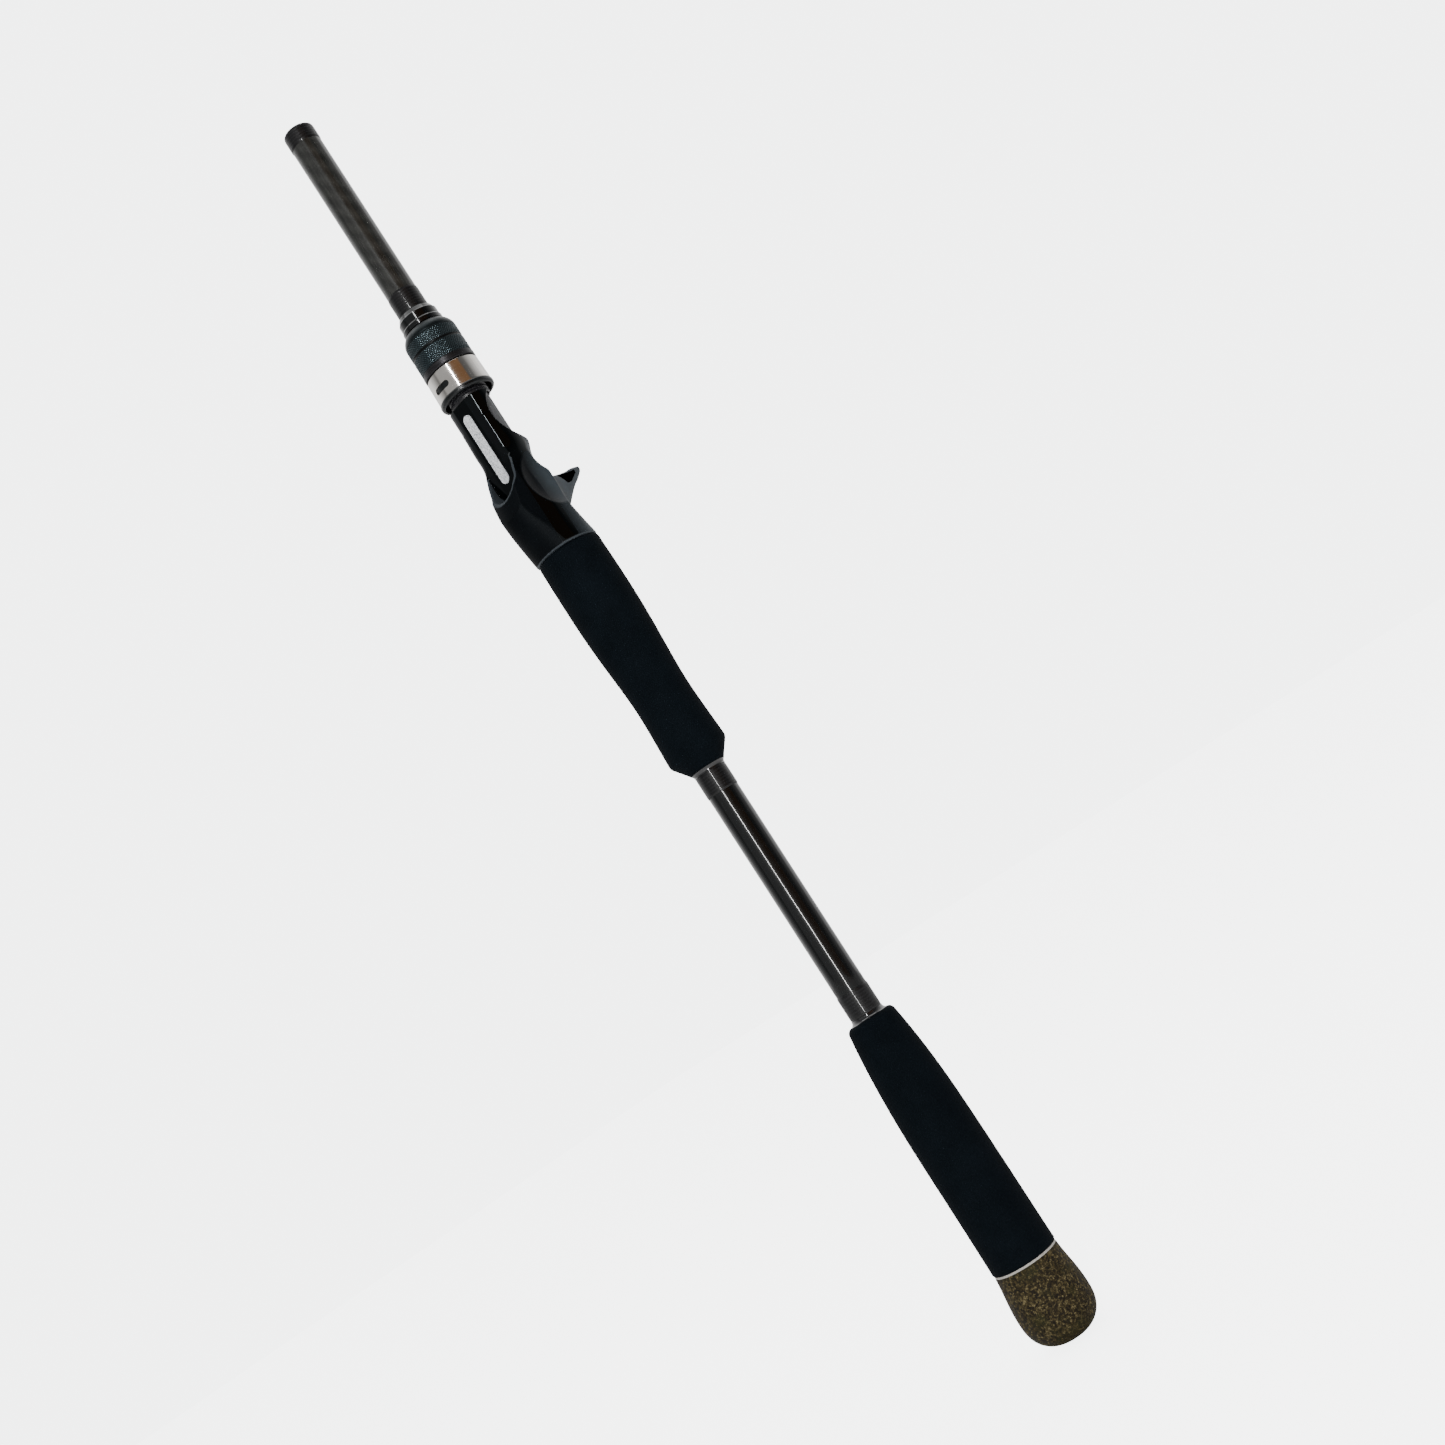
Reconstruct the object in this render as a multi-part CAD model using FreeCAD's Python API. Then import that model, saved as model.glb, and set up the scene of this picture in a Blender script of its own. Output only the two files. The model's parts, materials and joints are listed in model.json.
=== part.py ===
"""Detachable handle of a casting rod: ferrule tube, trigger reel seat, two foam grips and a butt cap.

The handle stands on its butt.  +Z runs along the tube towards the tip end, the reel deck faces -Y,
the trigger points to +Y, and the part is mirror-symmetric about the YZ plane.  The origin is on the
tube's axis, at the lowest point of the butt cap.  Units are millimetres.
"""
import FreeCAD, Part
import math
import os

V = FreeCAD.Vector
X_AXIS = V(1, 0, 0)
Y_AXIS = V(0, 1, 0)
Z_AXIS = V(0, 0, 1)

# Heights along the axis
Z_TIP = 575.0            # mouth of the ferrule socket
Z_TIP_WRAP = 567.5
Z_FORE_WRAP_TOP = 490.3
Z_CHECK_TOP = 480.4
Z_COLLAR_TOP = 474.7
Z_COLLAR_BOTTOM = 472.0
Z_NUT_TOP = 471.7        # the nut stands 0.3 off the collar when the hood is fully open
Z_GROOVE = 461.7         # groove between the two knurled bands
Z_BAND_END = 454.0       # knurled sleeve ends, plain end ring begins
Z_NUT_BOTTOM = 451.3
Z_SHELL_TOP = 451.0
Z_SHELL_BOTTOM = 439.8
Z_LIP = 437.4            # free edge of the hood's liner
Z_BARREL_ROOT = 434.9    # the threaded barrel grows out of the deck here
Z_SEAT_BOTTOM = 360.7
Z_UPPER_GRIP = 256.4
Z_UPPER_CHAMFER = 263.5
Z_UPPER_WRAP = 245.0
Z_UPPER_WRAP_TOP = 254.6
Z_LOWER_WRAP_TOP = 153.0
Z_LOWER_WRAP = 142.5
Z_LOWER_GRIP_TOP = 140.6
Z_TRIM_TOP = 33.6
Z_CAP_TOP = 32.8
Z_TUBE_BOTTOM = 9.0

# Tube and ferrule socket
TUBE_R = 6.65
TUBE_BORE_R = 5.2
SOCKET_R = 5.6
SOCKET_DEPTH = 62.0
SOCKET_FLOOR = Z_TIP - SOCKET_DEPTH
WRAP_T = 0.22            # thread and finish coat, over the tube
COAT_RUN = 1.2           # the coat thins out over this length at each end

# Seat
PIPE_R = 7.45            # inner sleeve seen in the finger cut-out
BARREL_R = 8.8           # crest of the thread
KEYWAY_W = 3.0
KEYWAY_DEPTH = 0.9
KEYWAY_BOTTOM = 435.0
KEYWAY_TOP = 450.0
PIPE_BOTTOM = 378.0
PIPE_TOP = 440.0
DECK_Y = -8.9            # plane that the reel foot rests on
DECK_FLAT_X = 4.0        # half width of the deck's flat; beyond it the deck falls away
DECK_FALL = 10.0         # by this angle, in degrees
PAD_LENGTH = 33.0
PAD_WIDTH = 4.7
PAD_Z0 = 396.4
PAD_SUNK = 0.4
BARREL_FOOT = 420.0      # the barrel is moulded into the deck from here up
MOUTH_R = 7.6            # plan radius of the fixed pocket's mouth
MOUTH_Z = 396.3
POCKET_HALF_W = 6.2
POCKET_H = 3.2
POCKET_Z = 381.0
SECTION_POINTS = 32
DECK_POWER = 2.2

# Nut and hood
NUT_R = 11.7
CORE_R = 10.7
Z_BAND_TOP = 467.6
Z_SLEEVE_SHOULDER = 468.8
NOSE_R = 9.6             # small end of the sleeve's nose
HOOD_R = 11.8
HOOD_BORE_R = 10.9
RUN = 0.05               # radial clearance of running fits
GAP = 0.3                # between curved faces of different bodies

# Rings, grips and butt
CHECK_R = 8.7            # winding check at the collar
CHECK_NOSE_R = 7.2       # and where it meets the winding
COLLAR_R = 9.1
UPPER_CHAMFER_R = 13.05
UPPER_NOSE_R = 7.6       # small end of the upper grip's chamfer
LOWER_GRIP_R = 14.0
LOWER_NOSE_R = 8.2
TRIM_R = 13.6
CAP_R = 15.5
CAP_RIM_R = 13.75
FLAT_R = 3.0
PLUG_LENGTH = 7.0
STOP_LENGTH = 8.0


def tube(r_out, r_in, z0, z1):
    """A plain ring or tube about the Z axis."""
    outer = Part.makeCylinder(r_out, z1 - z0, V(0, 0, z0))
    if r_in <= 0:
        return outer
    return outer.cut(Part.makeCylinder(r_in, z1 - z0 + 2, V(0, 0, z0 - 1)))


def profile_arc(a, mid, b):
    """A circular arc in the XZ half plane through three (r, z) points."""
    return Part.Arc(V(a[0], 0, a[1]), V(mid[0], 0, mid[1]), V(b[0], 0, b[1])).toShape()


def line(a, b):
    """A straight (r, z) profile edge."""
    return Part.makeLine(V(a[0], 0, a[1]), V(b[0], 0, b[1]))


def turned(edges):
    """Revolve a closed (r, z) profile about the Z axis."""
    face = Part.Face(Part.Wire(edges))
    solid = face.revolve(V(0, 0, 0), Z_AXIS, 360)
    if solid.Volume < 0:
        solid.reverse()
    return solid


def turned_outline(outer, r_in):
    """Revolve the straight-sided outline given by outer (r, z) points, bored to r_in."""
    points = [(r_in, outer[0][1])] + outer + [(r_in, outer[-1][1])]
    edges = [line(points[i], points[i + 1]) for i in range(len(points) - 1)]
    edges.append(line(points[-1], points[0]))
    return turned(edges)


def spline(points):
    """A smooth (r, z) profile edge through the given points."""
    curve = Part.BSplineCurve()
    curve.interpolate([V(r, 0, z) for r, z in points])
    return curve.toShape()


def at_z(edge, z, tolerance=0.05):
    """True for an edge that lies in the plane of height z."""
    box = edge.BoundBox
    return abs(box.ZMin - z) < tolerance and abs(box.ZMax - z) < tolerance


# ---------------------------------------------------------------- tube and windings

def handle_tube():
    """Carbon tube with the ferrule socket in its tip end."""
    body = tube(TUBE_R, TUBE_BORE_R, Z_TUBE_BOTTOM, Z_TIP)
    socket = Part.makeCylinder(SOCKET_R, SOCKET_DEPTH, V(0, 0, SOCKET_FLOOR))
    body = body.cut(socket)
    mouth_edges = [e for e in body.Edges if at_z(e, Z_TIP)]
    return body.makeChamfer(0.35, mouth_edges)


def winding(z0, z1):
    """Thread winding under a domed finish coat."""
    r = TUBE_R + WRAP_T
    return turned([
        line((TUBE_R, z0), (TUBE_R + 0.04, z0)),
        profile_arc((TUBE_R + 0.04, z0), (r - 0.05, z0 + 0.45), (r, z0 + COAT_RUN)),
        line((r, z0 + COAT_RUN), (r, z1 - COAT_RUN)),
        profile_arc((r, z1 - COAT_RUN), (r - 0.05, z1 - 0.45), (TUBE_R + 0.04, z1)),
        line((TUBE_R + 0.04, z1), (TUBE_R, z1)),
        line((TUBE_R, z1), (TUBE_R, z0)),
    ])


def epoxy_fillet(z_wide, z_narrow, r_wide):
    """Cone of cured epoxy between a grip and the winding beside it."""
    r_narrow = TUBE_R + WRAP_T + 0.05
    middle = (r_narrow + 0.25 * (r_wide - r_narrow), z_narrow + 0.6 * (z_wide - z_narrow))
    return turned([
        line((TUBE_R, z_narrow), (r_narrow, z_narrow)),
        profile_arc((r_narrow, z_narrow), middle, (r_wide, z_wide)),
        line((r_wide, z_wide), (TUBE_R, z_wide)),
        line((TUBE_R, z_wide), (TUBE_R, z_narrow)),
    ])


def winding_check():
    """Stepped ring that finishes the seat against the front winding."""
    return turned_outline([
        (CHECK_R, Z_COLLAR_TOP), (CHECK_R, Z_CHECK_TOP - 2.4), (CHECK_R - 0.35, Z_CHECK_TOP - 1.9),
        (CHECK_NOSE_R + 0.3, Z_CHECK_TOP - 0.25), (CHECK_NOSE_R, Z_CHECK_TOP)], TUBE_R)


def barrel_collar():
    """Ring on the end of the barrel, which stops the nut."""
    return turned_outline([
        (COLLAR_R - 0.4, Z_COLLAR_BOTTOM), (COLLAR_R, Z_COLLAR_BOTTOM + 0.4),
        (COLLAR_R, Z_COLLAR_TOP - 0.5), (COLLAR_R - 0.3, Z_COLLAR_TOP)], TUBE_R)


def arbor(z0, z1):
    """Sleeve that fills the space between the tube and the seat's bore."""
    return tube(PIPE_R, TUBE_R, z0, z1)


# ---------------------------------------------------------------- seat body

def section(z, half_width, deck_r, trigger_r, trigger_power):
    """Closed section of the seat body: a full deck half and a leaner trigger half.

    Each half is a superellipse, |x/a|^n + |y/b|^n = 1, and the two share the half width a.
    """
    points = []
    for i in range(SECTION_POINTS):
        angle = 2 * math.pi * i / SECTION_POINTS
        trigger_side = math.sin(angle) > 0
        power = trigger_power if trigger_side else DECK_POWER
        reach = trigger_r if trigger_side else deck_r
        across_term = (abs(math.cos(angle)) / half_width) ** power
        along_term = (abs(math.sin(angle)) / reach) ** power
        r = (across_term + along_term) ** (-1 / power)
        points.append(V(r * math.cos(angle), r * math.sin(angle), z))
    curve = Part.BSplineCurve()
    knots = [i / SECTION_POINTS for i in range(SECTION_POINTS + 1)]
    curve.interpolate(Points=points, PeriodicFlag=True, Parameters=knots)
    return Part.Wire([curve.toShape()])


# height, half width, deck-side reach, trigger-side reach, trigger-side power
SEAT_SECTIONS = [
    (Z_SEAT_BOTTOM, 13.9, 13.9, 13.9, 2.0),
    (369.5, 13.8, 16.8, 11.5, 1.65),
    (377.0, 13.7, 19.1, 9.5, 1.38),
    (385.0, 13.6, 20.1, 10.3, 1.5),
    (392.0, 13.2, 18.6, 10.9, 1.6),
    (399.5, 12.3, 14.9, 11.0, 1.7),
    (407.5, 11.1, 10.9, 11.2, 1.9),
    (414.5, 10.9, 10.9, 10.8, 2.0),
    (422.0, 10.65, 10.65, 10.6, 2.0),
    (Z_BARREL_ROOT, 10.55, 10.55, 10.55, 2.0),
]

# trigger fin: distance from the axis, centre height, half chord along Z, half thickness along X
TRIGGER_SECTIONS = [
    (7.6, 384.9, 10.4, 5.2),
    (12.0, 385.9, 9.2, 4.2),
    (17.0, 387.6, 7.5, 3.3),
    (22.0, 389.8, 5.5, 2.8),
    (27.0, 392.1, 3.8, 2.5),
    (32.0, 394.4, 2.8, 2.2),
    (35.2, 396.0, 1.4, 1.6),
]

# side scoops for finger and thumb: ball cutters beside the axis
SCOOP_R = 22.0
SCOOP_DIRECTION = math.radians(-4)   # towards the trigger from the side
SCOOP_Z = 390.5
SCOOP_CLEAR = 8.4                    # nearest the scoop comes to the axis

# finger cut-out: an elliptic opening in the seat's underside
CUT_Z = 423.3
CUT_Y = 7.0
CUT_HALF_Z = 13.6
CUT_HALF_Y = 12.1

# saddle between the crest and the trigger
SADDLE_R = 6.9
SADDLE_Z = 403.7
SADDLE_Y = 15.4
FLANK_SADDLE_R = 12.5    # the saddle goes on round both flanks, wider and shallower
FLANK_SADDLE_Z = 401.6
FLANK_SADDLE_Y = 21.4
FLANK_TURN = 53.0        # degrees from the trigger's direction


def trigger_fin():
    """Trigger: elliptic sections stacked away from the axis, with a round end."""
    wires = []
    for y, z, half_chord, half_thick in TRIGGER_SECTIONS:
        major = max(half_chord, half_thick)
        minor = min(half_chord, half_thick)
        ellipse = Part.Ellipse(V(0, 0, 0), major, minor)
        edge = ellipse.toShape()
        turn = 90 if half_chord >= half_thick else 0
        edge.rotate(V(0, 0, 0), Z_AXIS, turn)
        edge.rotate(V(0, 0, 0), X_AXIS, 90)
        edge.translate(V(0, y, z))
        wires.append(Part.Wire([edge]))
    fin = Part.makeLoft(wires, True, False)
    y, z, half_chord, half_thick = TRIGGER_SECTIONS[-1]
    tip = Part.makeSphere(half_thick, V(0, y - 0.2, z))
    return fin.fuse(tip)


def scoop(side):
    """Ball cutter for one side of the seat."""
    reach = SCOOP_CLEAR + SCOOP_R
    centre = V(side * reach * math.cos(SCOOP_DIRECTION), reach * math.sin(SCOOP_DIRECTION), SCOOP_Z)
    return Part.makeSphere(SCOOP_R, centre)


def across(edges, half_width):
    """Extrude a closed YZ-plane profile across the seat."""
    face = Part.Face(Part.Wire(edges))
    face.translate(V(-half_width, 0, 0))
    return face.extrude(V(2 * half_width, 0, 0))


def cut_out():
    """Finger cut-out below the deck."""
    edge = Part.Ellipse(V(0, 0, 0), CUT_HALF_Z, CUT_HALF_Y).toShape()
    edge.rotate(V(0, 0, 0), Y_AXIS, -90)
    edge.translate(V(0, CUT_Y, CUT_Z))
    return across([edge], 20)


def saddle(y=SADDLE_Y, z=SADDLE_Z, r=SADDLE_R):
    """Room for the finger between the crest and the trigger."""
    bore = Part.makeCylinder(r, 40, V(-20, y, z), X_AXIS)
    slot = Part.makeBox(40, 30, 2 * r, V(-20, y, z - r))
    return bore.fuse(slot)


def stadium(half_width, z0, z1, y, height):
    """Upright stadium prism: plan in XZ, rising from y towards -Y by height."""
    middle = V(0, y, z0)
    foot = Part.makeCylinder(half_width, height, middle, V(0, -1, 0))
    head = Part.makeCylinder(half_width, height, V(0, y, z1), V(0, -1, 0))
    web = Part.makeBox(2 * half_width, height, z1 - z0, V(-half_width, y - height, z0))
    return foot.fuse([head, web]).removeSplitter()


def deck_cutters():
    """Taken away on the deck side: the flat, its falling sides, the pocket and the pad's recess."""
    flat = stadium(MOUTH_R, MOUTH_Z, Z_BARREL_ROOT + 10, DECK_Y, 15)
    pocket = stadium(POCKET_HALF_W, POCKET_Z + POCKET_HALF_W, MOUTH_Z + 4, DECK_Y, POCKET_H)
    cutters = [flat, pocket]
    low_flat = stadium(MOUTH_R, MOUTH_Z, Z_BARREL_ROOT, DECK_Y + 2, 15)
    for side in (-1, 1):
        slope = Part.makeBox(40, 20, 80, V(-20, -20, MOUTH_Z - 20))
        slope.rotate(V(0, 0, 0), Z_AXIS, side * DECK_FALL)
        slope.translate(V(side * DECK_FLAT_X, DECK_Y, 0))
        cutters.append(low_flat.common(slope))
    cutters.append(pad_outline(PAD_WIDTH / 2, 1.0))
    return cutters


def seat_body():
    """Moulded seat: deck, fixed-hood pocket, dome, crest, trigger and threaded barrel."""
    wires = [section(*row) for row in SEAT_SECTIONS]
    body = Part.makeLoft(wires, True, False)
    for side in (-1, 1):
        body = body.cut(scoop(side))
    body = body.cut(saddle())
    for turn in (-FLANK_TURN, FLANK_TURN):
        flank = saddle(FLANK_SADDLE_Y, FLANK_SADDLE_Z, FLANK_SADDLE_R)
        flank.rotate(V(0, 0, 0), Z_AXIS, turn)
        body = body.cut(flank)
    body = body.fuse(trigger_fin().cut(saddle()))
    body = body.cut(cut_out())
    barrel = Part.makeCylinder(BARREL_R, Z_COLLAR_BOTTOM - BARREL_FOOT, V(0, 0, BARREL_FOOT))
    body = body.fuse(barrel.cut(cut_out()))
    for cutter in deck_cutters():
        body = body.cut(cutter)
    keyway = Part.makeBox(KEYWAY_W, 2.0, KEYWAY_TOP - KEYWAY_BOTTOM,
                          V(-KEYWAY_W / 2, BARREL_R - KEYWAY_DEPTH, KEYWAY_BOTTOM))
    body = body.cut(keyway)
    return body.cut(Part.makeCylinder(PIPE_R, Z_TIP))


def pad_outline(half_width, height):
    """The pad's stadium, from the floor of its recess outwards."""
    return stadium(half_width, PAD_Z0 + PAD_WIDTH / 2, PAD_Z0 + PAD_LENGTH - PAD_WIDTH / 2,
                   DECK_Y + PAD_SUNK, height)


def deck_pad():
    """Glitter pad let into the deck, a tenth of a millimetre proud."""
    return pad_outline(PAD_WIDTH / 2 - 0.02, PAD_SUNK + 0.1)


# ---------------------------------------------------------------- hood and nut

# the hood's liner, from the lip up: wide bore, guide flange on the barrel, seat for the nut's neck
FLANGE_Z = 447.2
FLANGE_TOP = 448.4
LINER_TOP = 450.3
LINER_R = 11.35
LIP_R = 12.3
NECK_R = 9.9
NECK_SEAT_R = 10.2
RING_Z = 449.4           # snap ring's groove
RING_H = 0.7
RING_R_IN = 9.5
RING_R_OUT = 10.6
KEY_W = 2.7
SHELL_SLOT_Z = 444.0
SHELL_SLOT_LENGTH = 8.6
SHELL_SLOT_WIDTH = 2.7


def hood_liner():
    """Black sliding sleeve of the hood, with its rounded lip."""
    body = turned([
        line((HOOD_BORE_R, Z_LIP + 0.3), (HOOD_BORE_R + 0.3, Z_LIP)),
        profile_arc((HOOD_BORE_R + 0.3, Z_LIP), (LIP_R - 0.32, Z_LIP + 0.35), (LIP_R, Z_LIP + 1.2)),
        line((LIP_R, Z_LIP + 1.2), (LIP_R, Z_SHELL_BOTTOM - 0.5)),
        line((LIP_R, Z_SHELL_BOTTOM - 0.5), (LIP_R - 0.3, Z_SHELL_BOTTOM)),
        line((LIP_R - 0.3, Z_SHELL_BOTTOM), (LINER_R, Z_SHELL_BOTTOM)),
        line((LINER_R, Z_SHELL_BOTTOM), (LINER_R, LINER_TOP)),
        line((LINER_R, LINER_TOP), (NECK_SEAT_R, LINER_TOP)),
        line((NECK_SEAT_R, LINER_TOP), (NECK_SEAT_R, FLANGE_TOP)),
        line((NECK_SEAT_R, FLANGE_TOP), (BARREL_R + RUN, FLANGE_TOP)),
        line((BARREL_R + RUN, FLANGE_TOP), (BARREL_R + RUN, FLANGE_Z)),
        line((BARREL_R + RUN, FLANGE_Z), (HOOD_BORE_R, FLANGE_Z)),
        line((HOOD_BORE_R, FLANGE_Z), (HOOD_BORE_R, Z_LIP + 0.3)),
    ])
    groove = tube(RING_R_OUT + 0.05, NECK_SEAT_R - 0.5, RING_Z, RING_Z + RING_H)
    body = body.cut(groove)
    key_seat = Part.makeBox(KEY_W, 1.2, FLANGE_TOP - FLANGE_Z, V(-KEY_W / 2, BARREL_R - 0.1, FLANGE_Z))
    return body.cut(key_seat)


def hood_key():
    """Guide key in the hood's flange, which runs in the barrel's keyway."""
    return Part.makeBox(KEY_W, 1.9, FLANGE_TOP - FLANGE_Z, V(-KEY_W / 2, BARREL_R - 0.8, FLANGE_Z))


def hood_shell():
    """Polished shell over the liner, slightly flared, with a slot over the deck."""
    outer_top = HOOD_R - 0.1
    inner = LINER_R
    outer = [
        (HOOD_R + 0.15, Z_SHELL_BOTTOM), (HOOD_R + 0.2, Z_SHELL_BOTTOM + 0.3),
        (outer_top, Z_SHELL_TOP - 0.5), (outer_top - 0.3, Z_SHELL_TOP),
        (NECK_SEAT_R, Z_SHELL_TOP), (NECK_SEAT_R, LINER_TOP),
    ]
    shell = turned_outline(outer, inner)
    half = (SHELL_SLOT_LENGTH - SHELL_SLOT_WIDTH) / 2
    r = SHELL_SLOT_WIDTH / 2
    ends = [Part.makeCylinder(r, 8, V(x, -6, SHELL_SLOT_Z), V(0, -1, 0)) for x in (-half, half)]
    web = Part.makeBox(2 * half, 8, 2 * r, V(-half, -14, SHELL_SLOT_Z - r))
    return shell.cut(ends[0].fuse([ends[1], web]))


def snap_ring():
    """Split ring that holds the nut's neck in the hood and lets it turn."""
    ring = tube(RING_R_OUT, RING_R_IN, RING_Z + 0.04, RING_Z + RING_H - 0.04)
    gap = Part.makeBox(2.4, 6, 3, V(-1.2, 7, RING_Z - 1))
    return ring.cut(gap)


def nut_core():
    """Threaded core of the lock nut, with the neck that the snap ring holds."""
    neck_bottom = FLANGE_TOP + 0.15
    neck_groove_top = RING_Z + RING_H + 0.1
    return turned_outline([
        (NECK_R, neck_bottom), (NECK_R, RING_Z - 0.1), (RING_R_IN - GAP, RING_Z - 0.1),
        (RING_R_IN - GAP, neck_groove_top), (NECK_R, neck_groove_top), (NECK_R, Z_NUT_BOTTOM),
        (CORE_R, Z_NUT_BOTTOM), (CORE_R, Z_SLEEVE_SHOULDER), (NOSE_R - 0.3, Z_NUT_TOP - 0.2),
    ], BARREL_R + RUN)


def nut_sleeve():
    """Knurled metal sleeve: smooth front chamfer and two bands with a groove between them."""
    body = turned([
        line((CORE_R, Z_BAND_END), (NUT_R - 0.25, Z_BAND_END)),
        line((NUT_R - 0.25, Z_BAND_END), (NUT_R, Z_BAND_END + 0.3)),
        line((NUT_R, Z_BAND_END + 0.3), (NUT_R, Z_GROOVE - 0.6)),
        line((NUT_R, Z_GROOVE - 0.6), (NUT_R - 0.35, Z_GROOVE)),
        line((NUT_R - 0.35, Z_GROOVE), (NUT_R, Z_GROOVE + 0.6)),
        line((NUT_R, Z_GROOVE + 0.6), (NUT_R, Z_BAND_TOP)),
        profile_arc((NUT_R, Z_BAND_TOP), (NUT_R - 0.7, Z_BAND_TOP + 2.5), (NOSE_R, Z_NUT_TOP)),
        line((NOSE_R, Z_NUT_TOP), (NOSE_R - 0.3, Z_NUT_TOP)),
        line((NOSE_R - 0.3, Z_NUT_TOP), (CORE_R, Z_SLEEVE_SHOULDER)),
        line((CORE_R, Z_SLEEVE_SHOULDER), (CORE_R, Z_BAND_END)),
    ])
    return body


def nut_end_ring():
    """Plain ring at the hood end of the nut."""
    return turned_outline([
        (NUT_R - 0.15, Z_NUT_BOTTOM), (NUT_R + 0.1, Z_NUT_BOTTOM + 0.3),
        (NUT_R + 0.1, Z_BAND_END - 0.3), (NUT_R - 0.2, Z_BAND_END)], CORE_R)


# ---------------------------------------------------------------- grips and butt

def upper_grip():
    """Foam grip behind the seat, waisted, with a long chamfer at its butt end."""
    corner_start = (UPPER_CHAMFER_R - 0.65, Z_UPPER_CHAMFER - 0.8)
    waist = [(UPPER_CHAMFER_R, Z_UPPER_CHAMFER + 1.1), (12.6, 275.0), (12.15, 290.0), (12.9, 307.0),
             (13.9, 326.0), (14.1, 340.0), (13.95, Z_SEAT_BOTTOM - 1.6)]
    return turned([
        line((TUBE_R, Z_UPPER_GRIP), (UPPER_NOSE_R, Z_UPPER_GRIP)),
        line((UPPER_NOSE_R, Z_UPPER_GRIP), corner_start),
        profile_arc(corner_start, (UPPER_CHAMFER_R - 0.2, Z_UPPER_CHAMFER), waist[0]),
        spline(waist),
        profile_arc(waist[-1], (13.65, Z_SEAT_BOTTOM - 0.5), (12.9, Z_SEAT_BOTTOM)),
        line((12.9, Z_SEAT_BOTTOM), (TUBE_R, Z_SEAT_BOTTOM)),
        line((TUBE_R, Z_SEAT_BOTTOM), (TUBE_R, Z_UPPER_GRIP)),
    ])


def lower_grip():
    """Foam butt grip, tapered and rounded towards the tube."""
    foot = (LOWER_GRIP_R - 0.8, Z_TRIM_TOP)
    taper = [(LOWER_GRIP_R, Z_TRIM_TOP + 1.3), (13.95, 60.0), (13.85, 85.0), (13.6, 100.0),
             (12.45, 121.0), (10.6, Z_LOWER_GRIP_TOP - 2.6)]
    return turned([
        line((TUBE_R, Z_TRIM_TOP), foot),
        profile_arc(foot, (LOWER_GRIP_R - 0.25, Z_TRIM_TOP + 0.3), taper[0]),
        spline(taper),
        profile_arc(taper[-1], (9.85, Z_LOWER_GRIP_TOP - 0.8), (LOWER_NOSE_R, Z_LOWER_GRIP_TOP)),
        line((LOWER_NOSE_R, Z_LOWER_GRIP_TOP), (TUBE_R, Z_LOWER_GRIP_TOP)),
        line((TUBE_R, Z_LOWER_GRIP_TOP), (TUBE_R, Z_TRIM_TOP)),
    ])


def trim_ring():
    """Thin ring between the butt grip and the butt cap."""
    return tube(TRIM_R, TUBE_R, Z_CAP_TOP, Z_TRIM_TOP)


def butt_cap():
    """Rubberised cork cap, bulbous, with a small flat to stand on."""
    return turned([
        line((0, 0), (FLAT_R, 0)),
        spline([(FLAT_R, 0), (9.0, 1.1), (13.0, 4.4), (15.1, 9.2), (CAP_R, 14.0), (15.2, 20.0),
                (14.3, 27.0), (CAP_RIM_R, Z_CAP_TOP - 0.5)]),
        line((CAP_RIM_R, Z_CAP_TOP - 0.5), (CAP_RIM_R - 0.35, Z_CAP_TOP)),
        line((CAP_RIM_R - 0.35, Z_CAP_TOP), (TUBE_R, Z_CAP_TOP)),
        line((TUBE_R, Z_CAP_TOP), (TUBE_R, Z_TUBE_BOTTOM)),
        line((TUBE_R, Z_TUBE_BOTTOM), (0, Z_TUBE_BOTTOM)),
        line((0, Z_TUBE_BOTTOM), (0, 0)),
    ])


PIECES = {
    "handle_tube": handle_tube,
    "ferrule_stop": lambda: tube(TUBE_BORE_R, 0, SOCKET_FLOOR - STOP_LENGTH, SOCKET_FLOOR),
    "tip_wrap": lambda: winding(Z_TIP_WRAP, Z_TIP - 0.4),
    "fore_wrap": lambda: winding(Z_CHECK_TOP, Z_FORE_WRAP_TOP),
    "winding_check": winding_check,
    "barrel_collar": barrel_collar,
    "front_arbor": lambda: arbor(PIPE_TOP, Z_COLLAR_BOTTOM),
    "rear_arbor": lambda: arbor(Z_SEAT_BOTTOM, PIPE_BOTTOM),
    "seat_pipe": lambda: arbor(PIPE_BOTTOM, PIPE_TOP),
    "seat_body": seat_body,
    "deck_pad": deck_pad,
    "hood_liner": hood_liner,
    "hood_key": hood_key,
    "hood_shell": hood_shell,
    "hood_snap_ring": snap_ring,
    "nut_core": nut_core,
    "nut_sleeve": nut_sleeve,
    "nut_end_ring": nut_end_ring,
    "upper_grip": upper_grip,
    "upper_epoxy_fillet": lambda: epoxy_fillet(Z_UPPER_GRIP, Z_UPPER_WRAP_TOP, UPPER_NOSE_R - 0.05),
    "upper_wrap": lambda: winding(Z_UPPER_WRAP, Z_UPPER_WRAP_TOP),
    "lower_wrap": lambda: winding(Z_LOWER_WRAP, Z_LOWER_WRAP_TOP),
    "lower_epoxy_fillet": lambda: epoxy_fillet(Z_LOWER_GRIP_TOP, Z_LOWER_WRAP, LOWER_NOSE_R - 0.1),
    "lower_grip": lower_grip,
    "butt_trim_ring": trim_ring,
    "butt_cap": butt_cap,
    "butt_plug": lambda: tube(TUBE_BORE_R, 0, Z_TUBE_BOTTOM, Z_TUBE_BOTTOM + PLUG_LENGTH),
}


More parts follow.
